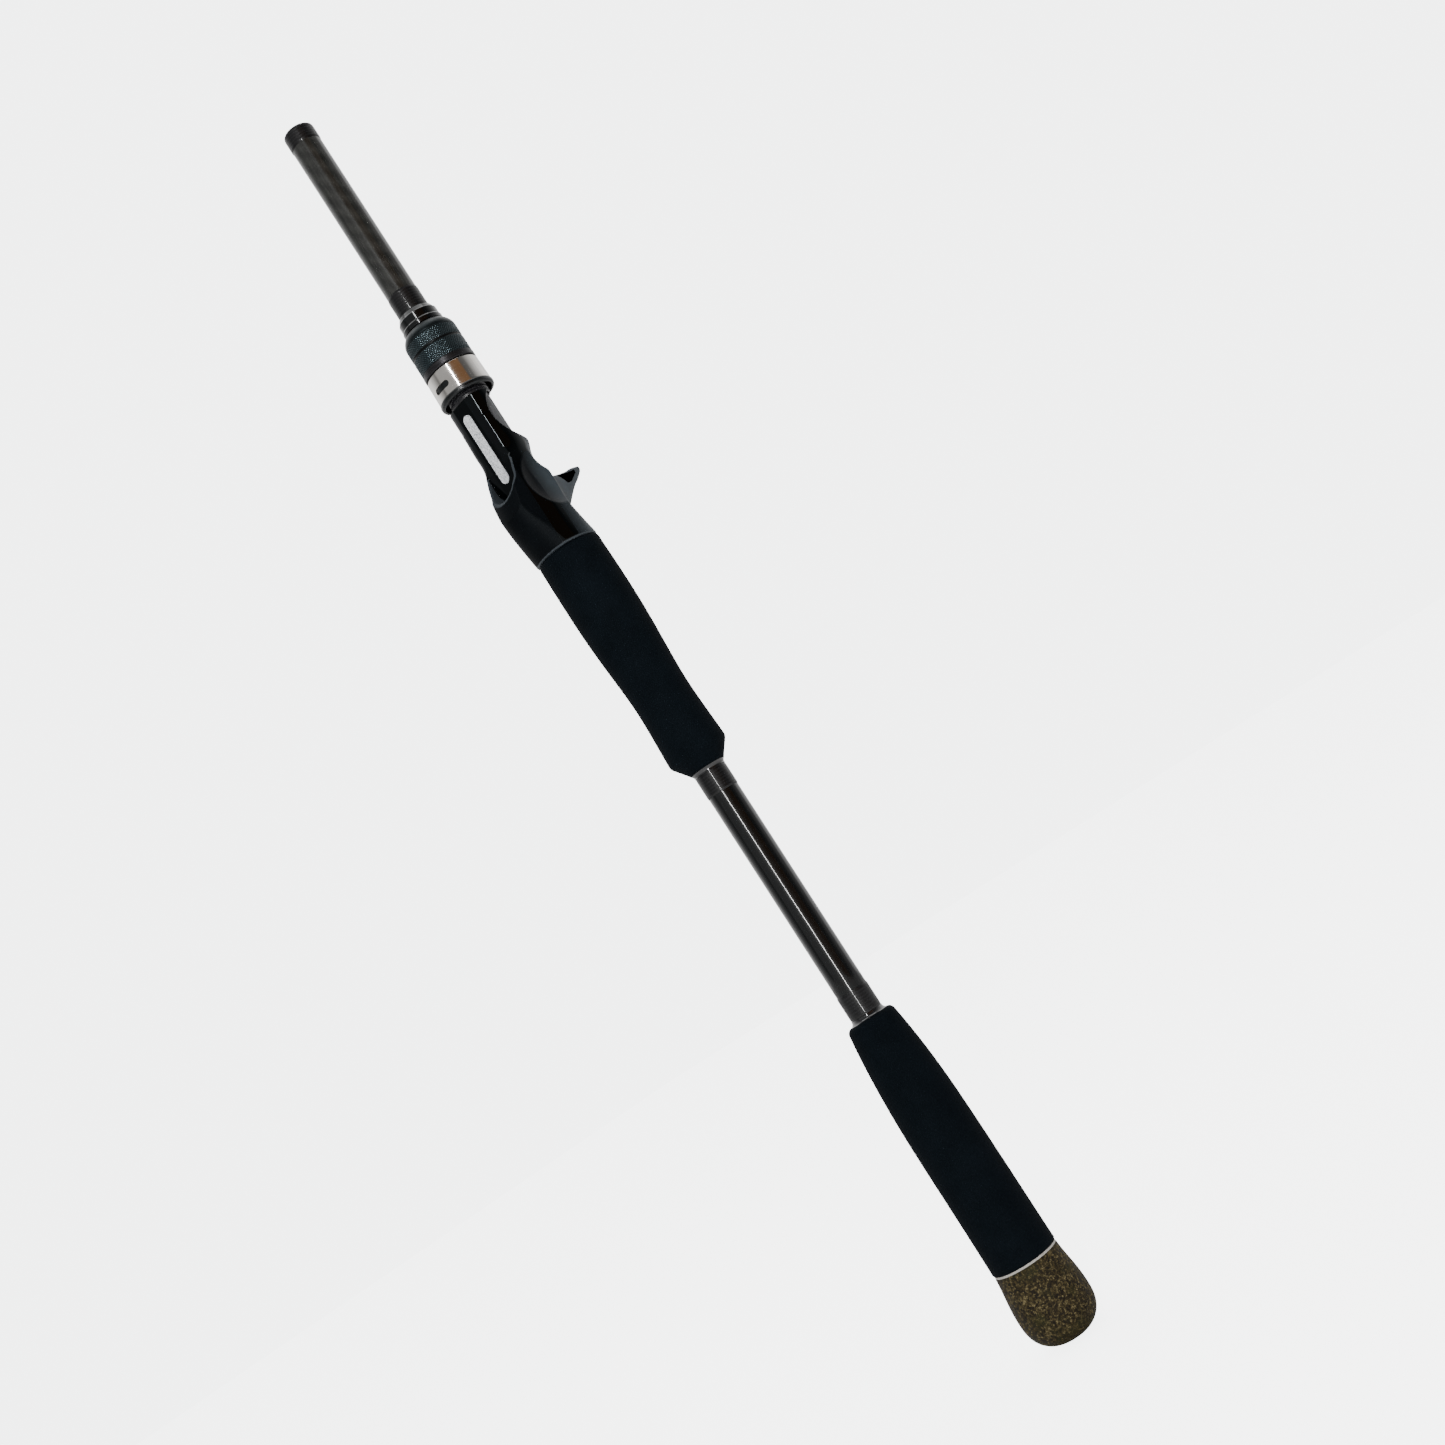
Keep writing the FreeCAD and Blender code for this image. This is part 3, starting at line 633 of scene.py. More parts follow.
class MeshBuilder:
    """Collects turned strips, in millimetres, and makes one mesh object of them."""

    def __init__(self):
        self.points = []
        self.faces = []
        self.smooth = []

    def strip(self, rings, smooth=True):
        """Join consecutive rings of points, each a (columns, 3) array from the bottom up."""
        base = len(self.points)
        columns = len(rings[0])
        for points in rings:
            self.points.extend(points.tolist())
        for row in range(len(rings) - 1):
            for column in range(columns):
                a = base + row * columns + column
                b = base + row * columns + (column + 1) % columns
                self.faces.append([a, b, b + columns, a + columns])
                self.smooth.append(smooth)

    def make(self, name):
        obj = mesh_object(name, self.points, self.faces)
        obj.data.polygons.foreach_set("use_smooth", self.smooth)
        return obj


def strip_object(name, rings, smooth=True):
    builder = MeshBuilder()
    builder.strip(rings, smooth)
    return builder.make(name)


def turns(columns):
    """The angle of each column round the axis."""
    return np.arange(columns) * 2 * math.pi / columns


def ring(r, z, columns):
    """A circle of points; r may be one radius or one for each column."""
    angle = turns(columns)
    return np.stack([r * np.cos(angle), r * np.sin(angle), np.broadcast_to(z, columns)], 1)


def turned_strip(builder, profile):
    """A smooth strip through the (r, z) points of profile, bottom to top on the outside."""
    builder.strip([ring(r, z, KNURL_COLUMNS) for r, z in profile])


SAME_HEIGHT = 0.02  # points this close in height belong to one circle


def cad_outline(node):
    """A turned CAD node's own heights and its outer radius at each, in millimetres."""
    points = np.array([v.co for v in NODES[node].data.vertices]) / MM
    radius = np.hypot(points[:, 0], points[:, 1])
    heights = np.unique(np.round(points[:, 2], 2))
    outer = [radius[np.abs(points[:, 2] - z) < SAME_HEIGHT].max() for z in heights]
    return heights, np.array(outer)


KNURL_AROUND = 66  # diamonds round the nut
KNURL_DEPTH = 0.26
KNURL_PITCH = 1.1  # a diamond's height
KNURL_FLAT = 0.45  # share of a diamond, from its middle, that is flat
KNURL_STEP = 0.18
KNURL_COLUMNS = 6 * KNURL_AROUND
KNURL_RUN_OUT = 0.3  # bevels above and below a band
PLAIN_CREST = 0.28  # tone of the smooth nose; the knurl's grooves are 0, painted near-black as painted shade, its crests 1


def knurled_band(builder, r, z0, z1):
    """A band of flat-topped diamonds between two crossing sets of helical grooves."""
    rows = round((z1 - z0) / KNURL_STEP)
    rings = [ring(r - KNURL_DEPTH, z0 - KNURL_RUN_OUT, KNURL_COLUMNS)]
    turn = np.arange(KNURL_COLUMNS) / KNURL_COLUMNS * KNURL_AROUND
    for row in range(rows + 1):
        z = z0 + (z1 - z0) * row / rows
        rise = (z - z0) / KNURL_PITCH
        rising = np.abs(2 * np.mod(turn + rise, 1) - 1)
        falling = np.abs(2 * np.mod(turn - rise, 1) - 1)
        from_top = np.maximum(rising, falling)
        groove = np.clip((from_top - KNURL_FLAT) / (1 - KNURL_FLAT), 0, 1)
        rings.append(ring(r - KNURL_DEPTH * groove, z, KNURL_COLUMNS))
    rings.append(ring(r - KNURL_DEPTH, z1 + KNURL_RUN_OUT, KNURL_COLUMNS))
    builder.strip(rings)


GROOVE_Z = 7.7  # above the sleeve's lower end: the middle of the groove between the bands,
BANDS_TOP = 13.6  # and the top of the upper band
GROOVE_PROFILE = ((KNURL_DEPTH, -0.45), (0.42, -0.2), (0.42, 0.2), (KNURL_DEPTH, 0.45))  # depth, height
BAND_FROM_GROOVE = 0.75  # the knurl starts this far from the groove's middle,
BAND_FROM_END = 0.5  # and this far from a band's other end
BAND_EDGE = 0.2  # height of the bevel there
SLEEVE_WALL = 1.0
NOSE_R = 9.6  # of the nose's top edge
NOSE_EDGE = 0.05  # the nose's foot lies this far inside the crests
NOSE_CURVE = 1.9  # the nose falls away with this power of height
NOSE_STEPS = 12
NOSE_LIP = 0.3  # width of the flat top edge
NOSE_BORE = 2.9  # height over which the inside opens out


def make_nut_sleeve():
    """The lock nut's sleeve: two knurled bands, a groove between them and a smooth domed nose."""
    low, high = node_z("nut_sleeve")
    z0, z1 = low / MM, high / MM
    r = node_r("nut_sleeve") / MM
    groove = z0 + GROOVE_Z
    band_top = z0 + BANDS_TOP
    core = r - SLEEVE_WALL
    floor = r - KNURL_DEPTH
    foot = r - NOSE_EDGE
    builder = MeshBuilder()
    turned_strip(builder, [(core, z0), (floor, z0)])
    turned_strip(builder, [(floor, z0), (floor, z0 + BAND_EDGE)])
    knurled_band(builder, r, z0 + BAND_FROM_END, groove - BAND_FROM_GROOVE)
    turned_strip(builder, [(r - depth, groove + z) for depth, z in GROOVE_PROFILE])
    knurled_band(builder, r, groove + BAND_FROM_GROOVE, band_top - BAND_FROM_END)
    turned_strip(builder, [(floor, band_top - BAND_EDGE), (foot, band_top)])
    nose = []
    for step in range(NOSE_STEPS + 1):
        t = step / NOSE_STEPS
        nose.append((foot - (foot - NOSE_R) * t**NOSE_CURVE, band_top + (z1 - band_top) * t))
    turned_strip(builder, nose)
    turned_strip(builder, [(NOSE_R, z1), (NOSE_R - NOSE_LIP, z1), (core, z1 - NOSE_BORE)])
    sleeve = builder.make("nut_knurled_sleeve")
    points = np.array([vertex.co for vertex in sleeve.data.vertices]) / MM
    radius = np.hypot(points[:, 0], points[:, 1])
    banded = (points[:, 2] > z0 + KNURL_RUN_OUT) & (points[:, 2] < band_top - KNURL_RUN_OUT)
    # The crest value also sets the painted shade of the knurl's grooves.
    crest = np.where(banded, (radius - r + KNURL_DEPTH) / KNURL_DEPTH, PLAIN_CREST)
    layer = sleeve.data.attributes.new("crest", "FLOAT", "POINT")
    layer.data.foreach_set("value", crest.astype(np.float32))
    return sleeve


SEAT_TOP = 434.9  # the moulding ends here and its threaded barrel goes on
THREAD_PITCH = 1.5
THREAD_DEPTH = 0.55
THREAD_COLUMNS = 120
THREAD_RUN_OUT = 0.4  # the thread stops this far short of the collar
BARREL_R = 8.8
THREAD_ROOT = BARREL_R - THREAD_DEPTH
THREAD_SECTION = [(0.0, THREAD_ROOT), (0.3, THREAD_ROOT),  # share of a pitch, and radius there
                  (0.52, BARREL_R), (0.84, BARREL_R)]


def make_barrel_thread():
    """Trapezoid thread on the barrel, from the deck's end to the collar."""
    z0 = SEAT_TOP
    z1 = node_z("barrel_collar")[0] / MM
    phase = np.arange(THREAD_COLUMNS) / THREAD_COLUMNS
    rings = [ring(THREAD_ROOT, z0, THREAD_COLUMNS)]
    for turn in range(int((z1 - z0) / THREAD_PITCH)):
        for share, r in THREAD_SECTION:
            z = z0 + (turn + share + phase) * THREAD_PITCH
            r = np.where(z > z1 - THREAD_RUN_OUT, THREAD_ROOT, r)
            rings.append(ring(r, np.minimum(z, z1), THREAD_COLUMNS))
    rings.append(ring(THREAD_ROOT, z1, THREAD_COLUMNS))
    return strip_object("barrel_thread", rings, smooth=False)


TUBE_R = 6.65
GRIP_BORE = TUBE_R + 0.02
FOAM_STEP = 0.7
FOAM_COLUMNS = 128
FOAM_WAVES = ((0.035, 2, 17.0), (0.025, 3, -9.0))  # depth, lobes round the grip, height to a radian
FOAM_SINK = 0.06  # keeps the waves inside the CAD outline
CELL_DEPTH = 0.05
GRIP_END = 2  # waves and cells fade out over this
END_HEIGHTS = 4  # CAD heights kept at each rounded end


def lathe_outline(node, step):
    """A CAD node's outer outline resampled evenly, as radii and heights in millimetres."""
    heights, outer = cad_outline(node)
    z = np.arange(heights[0], heights[-1], step)
    z = np.unique(np.concatenate([z, heights[:END_HEIGHTS], heights[-END_HEIGHTS:]]))
    return np.interp(z, heights, outer), z


def make_grip(node, name):
    """A foam grip: the CAD outline with sanding waves and open cells in its skin."""
    radii, heights = lathe_outline(node, FOAM_STEP)
    angle = turns(FOAM_COLUMNS)
    rings = [ring(GRIP_BORE, heights[0], FOAM_COLUMNS)]
    for r, z in zip(radii, heights):
        wave = sum(depth * np.sin(lobes * angle + z / rise) for depth, lobes, rise in FOAM_WAVES)
        cells = CELL_DEPTH * RNG.random(FOAM_COLUMNS)
        edge = min(1.0, (z - heights[0]) / GRIP_END, (heights[-1] - z) / GRIP_END)
        rings.append(ring(r - FOAM_SINK * edge + (wave - cells) * edge, z, FOAM_COLUMNS))
    rings.append(ring(GRIP_BORE, heights[-1], FOAM_COLUMNS))
    return strip_object(name, rings)


CORK_COLUMNS = 160
CORK_STEP = 0.6
CAP_CENTRE = 0.05  # tiny hole in the middle of the butt
PITS = 220
PIT_SIZE = (0.35, 0.9)
PIT_DEPTH = (0.06, 0.22)
PIT_MARGIN = 3  # from the outline's two ends
PIT_FALL = 2  # a pit's steepness
PITTED_FROM_R = 5  # the butt's middle has none


def make_butt_cap():
    """The butt cap, with shallow pits where crumbs of cork have come away."""
    heights, outer = cad_outline("butt_cap")
    length = np.concatenate([[0], np.cumsum(np.hypot(np.diff(heights), np.diff(outer)))])
    s = np.linspace(0, length[-1], int(length[-1] / CORK_STEP))
    z = np.interp(s, length, heights)
    r = np.interp(s, length, outer)
    angle = turns(CORK_COLUMNS)
    pit_s = RNG.uniform(PIT_MARGIN, length[-1] - PIT_MARGIN, PITS)
    pit_angle = RNG.uniform(-math.pi, math.pi, PITS)
    pit_size = RNG.uniform(*PIT_SIZE, PITS)
    pit_depth = RNG.uniform(*PIT_DEPTH, PITS)
    rings = [ring(CAP_CENTRE, z[0], CORK_COLUMNS)]
    for here, radius, height in zip(s, r, z):
        turn = (angle[:, None] - pit_angle + math.pi) % (2 * math.pi) - math.pi
        distance = ((turn * radius) ** 2 + (here - pit_s) ** 2) / pit_size**2
        dip = (pit_depth * np.exp(-PIT_FALL * distance)).max(1)
        dip = np.where(radius > PITTED_FROM_R, dip, 0)
        rings.append(ring(radius - dip, height, CORK_COLUMNS))
    rings.append(ring(TUBE_R, z[-1], CORK_COLUMNS))
    return strip_object("butt_cap_cork", rings)


# -------- seat body as one smooth moulding

# Along the seat, in millimetres: height, half width, reach to the deck side, reach to the trigger
# side, and the power of the trigger half's superellipse.  They are close to the CAD solid's.
SEAT_STATIONS = np.array([
    (360.7, 13.9, 13.9, 13.9, 2.0), (369.5, 13.8, 16.8, 11.5, 1.65), (377.0, 13.7, 19.1, 9.5, 1.38),
    (385.0, 13.6, 20.1, 10.3, 1.5), (392.0, 13.2, 18.6, 10.9, 1.6), (399.5, 12.3, 14.9, 11.0, 1.7),
    (407.5, 11.1, 10.9, 11.2, 1.9), (414.5, 10.9, 10.9, 10.8, 2.0), (422.0, 10.65, 10.65, 10.6, 2.0),
    (434.9, 10.55, 10.55, 10.55, 2.0)])
# Trigger: distance from the axis, centre height, half chord and half thickness
TRIGGER_STATIONS = np.array([
    (6.0, 384.7, 10.6, 6.0), (12.0, 385.9, 9.2, 4.0), (17.0, 387.6, 7.5, 3.0), (22.0, 389.8, 5.5, 2.5),
    (27.0, 392.1, 3.8, 2.2), (32.0, 394.4, 2.8, 1.9), (34.9, 395.7, 1.8, 1.6)])
TRIGGER_POWER = 2.4  # of the trigger's own superellipse
TIP_SET_BACK = 0.3  # from the last station in to the round tip's middle
DECK_POWER = 2.2
DECK_Y = -8.9
MOUTH_R = 7.6
MOUTH_Z = 396.3
OPEN_Z = 406.5  # above this the channel runs out through both flanks,
OPEN_EASE = 3.0  # easing out over this height
DECK_FLAT_X = 4.0  # half width of the deck's flat; the deck falls away beyond it
DECK_FALL = (math.radians(4), math.radians(14))  # by this much at the mouth and at the hood
DECK_RUN = (412.0, 434.0)  # heights between which it steepens
SIDE_PANEL = math.radians(60)  # from the deck's normal to a side panel's
RIDGE = math.radians(39)  # the dome's soft-touch coat ends here
HOOD_PATH_R = 10.8  # the hood slides over what is above HOOD_PATH_Z;
HOOD_PATH_Z = 425.0  # lower down the moulding may widen
HOOD_PATH_SLOPE = 0.2  # by this much a millimetre
SEAT_BOTTOM = 360.7
SEAT_LIP_Z = 361.35  # the rounded lip at the grip is below this
SEAT_BORE = 7.45
RIM_WIDTH = 1.3
RIM_DROP = 1.0  # how deep the channel's mouth is bevelled
RIM_SLANT = 0.7071  # a bevel of 45 degrees
RIM_CLEAR = 0.4  # it stays this far above the deck
SCOOP_R = 22.0
SCOOP_CLEAR = 8.4  # from the axis to the nearest point of the hollow
SCOOP_Z = 390.5
SCOOP_TURN = math.radians(-4)  # towards the trigger from the side
SADDLE = (15.4, 403.7, 6.9)  # a groove's end, its middle height and its radius
FLANK_SADDLE = (21.3, 401.6, 12.5)
FLANK_TURN = math.radians(53)  # from the trigger's direction towards the side
CUT_Y, CUT_Z = 7.0, 423.3  # the cut-out's middle
CUT_DEPTH, CUT_LENGTH = 12.1, 13.6  # half its sizes along Y and Z
POCKET_R = 6.2
POCKET_Z = (387.2, 403.0)  # middle of its rounded end, and its top
POCKET_ROOF_Y = -12.1
PAD_R = 2.35  # the silver pad's slot, and the middles of its rounded ends
PAD_Z = (398.75, 427.05)
PAD_MIDDLE_Z = 413
PAD_DEPTH = 0.4
HOLLOW_OUTLINE = [(18.8, 394.2), (21.6, 389.6), (24.5, 390.0), (30.6, 393.8), (30.8, 395.2)]
HOLLOW_INSET = 0.25
HOLLOW_FLOOR = 0.25  # as a share of the trigger's thickness
# Widths over which edges are rounded.
EDGE = {"panel": 0.25, "scoop": 0.5, "saddle": 0.7, "trigger": 0.5, "fillet": 5.5, "hollow": 0.25,
        "cut_out": 0.35, "deck": 0.9, "rim": 0.4, "pocket": 0.4, "bottom": 1.2, "top": 0.3}
SEAT_STEP = 0.3  # grid spacing for meshing the seat
BAND_WIDTH = 2.2  # in coarse blocks: nearer the surface, the grid is fine
SCAN_Z = (359.9, 436.0)  # heights that the grid spans
SCAN_MARGIN = 0.9  # how far it passes the CAD node's sides
NORMAL_REACH = 0.12  # normals are the field's slope over this distance


def smooth_curve(stations, column, at):
    """A smooth cubic through one column of a station table."""
    x, y = stations[:, 0], stations[:, column]
    slope = np.gradient(y, x)
    k = np.clip(np.searchsorted(x, at) - 1, 0, len(x) - 2)
    width = x[k + 1] - x[k]
    t = np.clip((at - x[k]) / width, 0, 1)
    return ((2 * t**3 - 3 * t**2 + 1) * y[k] + (t**3 - 2 * t**2 + t) * width * slope[k]
            + (3 * t**2 - 2 * t**3) * y[k + 1] + (t**3 - t**2) * width * slope[k + 1])


def soft_max(a, b, k):
    """Greater of two fields, with the meeting edge rounded over about k."""
    h = np.maximum(k - np.abs(a - b), 0) / k
    return np.maximum(a, b) + h * h * k * 0.25


def soft_min(a, b, k):
    return -soft_max(-a, -b, k)


def carve(body, hollow, edge):
    """A body with a hollow taken out of it and a rounded edge left behind."""
    return soft_max(body, -hollow, EDGE[edge])


def seat_hull(x, y, z):
    """The moulding before anything is cut out of it: a turned body with two flat side panels."""
    a = smooth_curve(SEAT_STATIONS, 1, z)
    b = np.where(y < 0, smooth_curve(SEAT_STATIONS, 2, z), smooth_curve(SEAT_STATIONS, 3, z))
    power = np.where(y < 0, DECK_POWER, smooth_curve(SEAT_STATIONS, 4, z))
    rho = np.hypot(x, y) + 1e-6
    limit = ((np.abs(x) / rho / a) ** power + (np.abs(y) / rho / b) ** power) ** (-1 / power)
    sin_p, cos_p = math.sin(SIDE_PANEL), math.cos(SIDE_PANEL)
    reach = ((sin_p / a) ** DECK_POWER
             + (cos_p / smooth_curve(SEAT_STATIONS, 2, z)) ** DECK_POWER) ** (-1 / DECK_POWER)
    panel = np.abs(x) * sin_p - y * cos_p - reach
    hood_room = rho - HOOD_PATH_R - HOOD_PATH_SLOPE * np.maximum(HOOD_PATH_Z - z, 0)
    return soft_max(np.maximum(rho - limit, hood_room), panel, EDGE["panel"])


def seat_trigger(x, y, z):
    centre = smooth_curve(TRIGGER_STATIONS, 1, y)
    chord = smooth_curve(TRIGGER_STATIONS, 2, y)
    thick = smooth_curve(TRIGGER_STATIONS, 3, y)
    p = TRIGGER_POWER
    q = ((np.abs(z - centre) / chord) ** p + (np.abs(x) / thick) ** p) ** (1 / p)
    side = (q - 1) * np.minimum(chord, thick)
    end_y, end_z, end_r = TRIGGER_STATIONS[-1, [0, 1, 3]]
    cap = np.sqrt(x**2 + (y - end_y + TIP_SET_BACK) ** 2 + (z - end_z) ** 2) - end_r
    body = np.maximum.reduce([side, y - end_y, -y])
    return soft_min(body, cap, EDGE["trigger"])


def seat_scoops(x, y, z):
    """The two thumb hollows, one on each side, each a ball's surface."""
    reach = SCOOP_CLEAR + SCOOP_R
    return np.sqrt((np.abs(x) - reach * math.cos(SCOOP_TURN)) ** 2
                   + (y - reach * math.sin(SCOOP_TURN)) ** 2 + (z - SCOOP_Z) ** 2) - SCOOP_R


def rounded_groove(outward, z, groove):
    end, middle, radius = groove
    return np.hypot(np.minimum(outward - end, 0), z - middle) - radius


def seat_saddle(y, z):
    """The finger's groove in front of the trigger."""
    return rounded_groove(y, z, SADDLE)


def flank_saddles(x, y, z):
    """The same groove carried on round both flanks, wider and shallower."""
    outward = np.abs(x) * math.sin(FLANK_TURN) + y * math.cos(FLANK_TURN)
    return rounded_groove(outward, z, FLANK_SADDLE)


def seat_cut_out(y, z):
    """The opening on the trigger's side, above it: an ellipse seen from the side."""
    q = np.hypot((z - CUT_Z) / CUT_LENGTH, (y - CUT_Y) / CUT_DEPTH)
    return (q - 1) * CUT_DEPTH


def slot_plan(x, z, end, radius):
    """Plan, seen along Y, of a slot with a rounded lower end."""
    return np.where(z > end, np.abs(x) - radius, np.hypot(x, z - end) - radius)


def deck_plan(x, z):
    """Plan of the deck's channel: a U that opens out towards the hood."""
    return soft_min(slot_plan(x, z, MOUTH_Z, MOUTH_R), OPEN_Z - z, OPEN_EASE)


def seat_pocket(x, y, z):
    """The fixed hood's pocket, which runs on from the channel under the dome."""
    plan = slot_plan(x, z, POCKET_Z[0], POCKET_R)
    return np.maximum.reduce([plan, POCKET_ROOF_Y - y, y - DECK_Y, z - POCKET_Z[1]])


def trigger_recess(x, y, z):
    """The hollow in each flank of the trigger, wide at the root and narrow at the tip."""
    edges = []
    for (y0, z0), (y1, z1) in zip(HOLLOW_OUTLINE, HOLLOW_OUTLINE[1:] + HOLLOW_OUTLINE[:1]):
        length = math.hypot(y1 - y0, z1 - z0)
        edges.append(((y - y0) * (z1 - z0) - (z - z0) * (y1 - y0)) / length)
    thick = smooth_curve(TRIGGER_STATIONS, 3, y)
    return np.maximum(np.maximum.reduce(edges) + HOLLOW_INSET, HOLLOW_FLOOR * thick - np.abs(x))


def seat_field(x, y, z):
    """Signed field of the moulding in millimetres: negative inside."""
    saddle = seat_saddle(y, z)
    body = carve(seat_hull(x, y, z), seat_scoops(x, y, z), "scoop")
    body = carve(body, saddle, "saddle")
    body = carve(body, flank_saddles(x, y, z), "saddle")
    trigger = carve(seat_trigger(x, y, z), saddle, "trigger")
    body = soft_min(body, trigger, EDGE["fillet"])
    body = carve(body, trigger_recess(x, y, z), "hollow")
    body = carve(body, seat_cut_out(y, z), "cut_out")
    fall = np.interp(z, DECK_RUN, DECK_FALL)
    falling = (y - DECK_Y) * np.cos(fall) - (np.abs(x) - DECK_FLAT_X) * np.sin(fall)
    plan = deck_plan(x, z)
    rim = (body - plan + RIM_DROP) * RIM_SLANT
    body = carve(body, np.maximum(plan, np.minimum(y - DECK_Y, falling)), "deck")
    body = np.where(y < DECK_Y - RIM_CLEAR, soft_max(body, rim, EDGE["rim"]), body)
    body = carve(body, seat_pocket(x, y, z), "pocket")
    beyond = np.where(z > PAD_MIDDLE_Z, z - PAD_Z[1], PAD_Z[0] - z)
    pad_slot = np.hypot(x, np.maximum(beyond, 0)) - PAD_R
    body = np.maximum(body, -np.maximum(pad_slot, y - DECK_Y - PAD_DEPTH))
    body = soft_max(body, SEAT_BOTTOM - z, EDGE["bottom"])
    body = soft_max(body, z - SEAT_TOP, EDGE["top"])
    return np.maximum(body, SEAT_BORE - np.hypot(x, y))


def slope_of(field, points, e):
    """The field's slope at each point, by differences over e each way."""
    x, y, z = points.T
    return np.stack([field(x + e, y, z) - field(x - e, y, z),
                     field(x, y + e, z) - field(x, y - e, z),
                     field(x, y, z + e) - field(x, y, z - e)], 1) / (2 * e)


def grid_points(low, counts, step):
    axes = [a + step * np.arange(n) for a, n in zip(low, counts)]
    return np.stack(np.meshgrid(*axes, indexing="ij"), -1)


def banded_samples(field, low, high, step):
    """The field on a grid, worked out finely near its surface and in coarse blocks elsewhere."""
    coarse = 4
    blocks = [math.ceil((b - a) / (step * coarse)) for a, b in zip(low, high)]
    middles = grid_points([a + step * (coarse - 1) / 2 for a in low], blocks, step * coarse)
    rough = field(middles[..., 0], middles[..., 1], middles[..., 2])
    near = np.abs(rough) < step * coarse * BAND_WIDTH
    for axis in range(3):
        rough = np.repeat(rough, coarse, axis)
        near = np.repeat(near, coarse, axis)
    points = grid_points(low, rough.shape, step)[near]
    rough[near] = field(*points.T)
    return rough


PULLS = 3  # rounds of pulling corners onto the surface


def surface_nets(field, low, high, step):
    """Quads on the zero level of field over a box, with the corners pulled onto the surface."""
    value = banded_samples(field, low, high, step)
    inside = value < 0
    shape = np.array(value.shape) - 1
    total = np.zeros(tuple(shape) + (3,))
    count = np.zeros(tuple(shape))
    corners = [(i, j, k) for i in (0, 1) for j in (0, 1) for k in (0, 1)]

    def block(array, c):
        return array[c[0]:c[0] + shape[0], c[1]:c[1] + shape[1], c[2]:c[2] + shape[2]]

    for a in corners:
        for axis in range(3):
            if a[axis]:
                continue
            b = tuple(1 if n == axis else v for n, v in enumerate(a))
            va, vb = block(value, a), block(value, b)
            crosses = block(inside, a) != block(inside, b)
            t = np.where(crosses, va / np.where(crosses, va - vb, 1), 0)
            for n in range(3):
                offset = a[n] + (t if n == axis else 0)
                total[..., n] += np.where(crosses, offset, 0)
            count += crosses
    active = count > 0
    index = -np.ones(tuple(shape), int)
    index[active] = np.arange(active.sum())
    cells = np.argwhere(active)
    points = np.array(low) + (cells + total[active] / count[active][:, None]) * step
    quads = []
    for axis in range(3):
        u, v = [n for n in range(3) if n != axis]
        first = [slice(1, -1)] * 3
        first[axis] = slice(0, -1)
        second = list(first)
        second[axis] = slice(1, None)
        change = inside[tuple(first)] != inside[tuple(second)]
        spots = np.argwhere(change)
        base = spots + np.array([0 if n == axis else 1 for n in range(3)])
        out = inside[tuple(first)][change]
        around = []
        for du, dv in ((1, 1), (0, 1), (0, 0), (1, 0)):
            cell = base.copy()
            cell[:, u] -= du
            cell[:, v] -= dv
            around.append(index[cell[:, 0], cell[:, 1], cell[:, 2]])
        around = np.stack(around, 1)
        turned = ~out if axis != 1 else out
        around[turned] = around[turned][:, ::-1]
        quads.append(around)
    quads = np.concatenate(quads)
    for _ in range(PULLS):
        here = field(*points.T)
        slope = slope_of(field, points, 0.02)
        move = here[:, None] * slope / np.maximum((slope**2).sum(1), 0.2)[:, None]
        length = np.linalg.norm(move, axis=1, keepdims=True)
        points = points - move * np.minimum(1, 0.4 * step / np.maximum(length, 1e-9))
    return points, quads


def mesh_object(name, points, faces):
    """A smooth mesh object from points in millimetres and four-cornered faces."""
    mesh = bpy.data.meshes.new(name)
    mesh.from_pydata((np.asarray(points) * MM).tolist(), [], np.asarray(faces).tolist())
    mesh.validate()
    mesh.update()
    mesh.shade_smooth()
    obj = bpy.data.objects.new(name, mesh)
    bpy.context.scene.collection.objects.link(obj)
    return obj


SKIN = 0.35  # a point this near a cut's surface belongs to that cut
COAT_FROM = math.radians(70)  # the coat under the hand starts this far round from the deck,
COAT_TO_Z = 392  # below this height,
COAT_BACK = math.radians(100)  # and, further round, goes on up
COAT_TOP_Z = 412  # to this one
DOME_TOP_Z = 404  # the dome's coat ends here
FIN_Y = 9.5  # further out than this is the trigger,
FIN_TOP_Z = 402  # which lies below this height
SHADE_FROM, SHADE_OVER = 62, 50  # degrees round from the deck: start and run of the painted bounce light on the lower flanks


def soft_touch_field(points):
    """Positive where the moulding is coated soft-touch, negative where it is glossy, in millimetres."""
    x, y, z = points.T
    angle = np.arctan2(np.abs(x), -y)
    radius = np.hypot(x, y)
    dome = np.minimum((RIDGE - angle) * radius, deck_plan(x, z) + 0.15)
    dome = np.where(z > DOME_TOP_Z, np.minimum(dome, DOME_TOP_Z - z), dome)
    under = np.minimum((angle - COAT_FROM) * radius, COAT_TO_Z - z)
    under = np.maximum(under, (angle - COAT_BACK) * radius)
    scoop = SKIN - np.abs(seat_scoops(x, y, z))
    saddle = SKIN - np.abs(np.minimum(seat_saddle(y, z), flank_saddles(x, y, z)))
    fin = np.where(z < FIN_TOP_Z, y - FIN_Y, -5)
    lower = np.minimum(np.maximum.reduce([under, scoop, saddle, fin]), COAT_TOP_Z - z)
    wall = np.where(y > 0, SKIN - np.abs(seat_cut_out(y, z)), -1)
    field = np.maximum.reduce([dome, lower, wall])
    return np.where(z < SEAT_LIP_Z, -2.0, field)


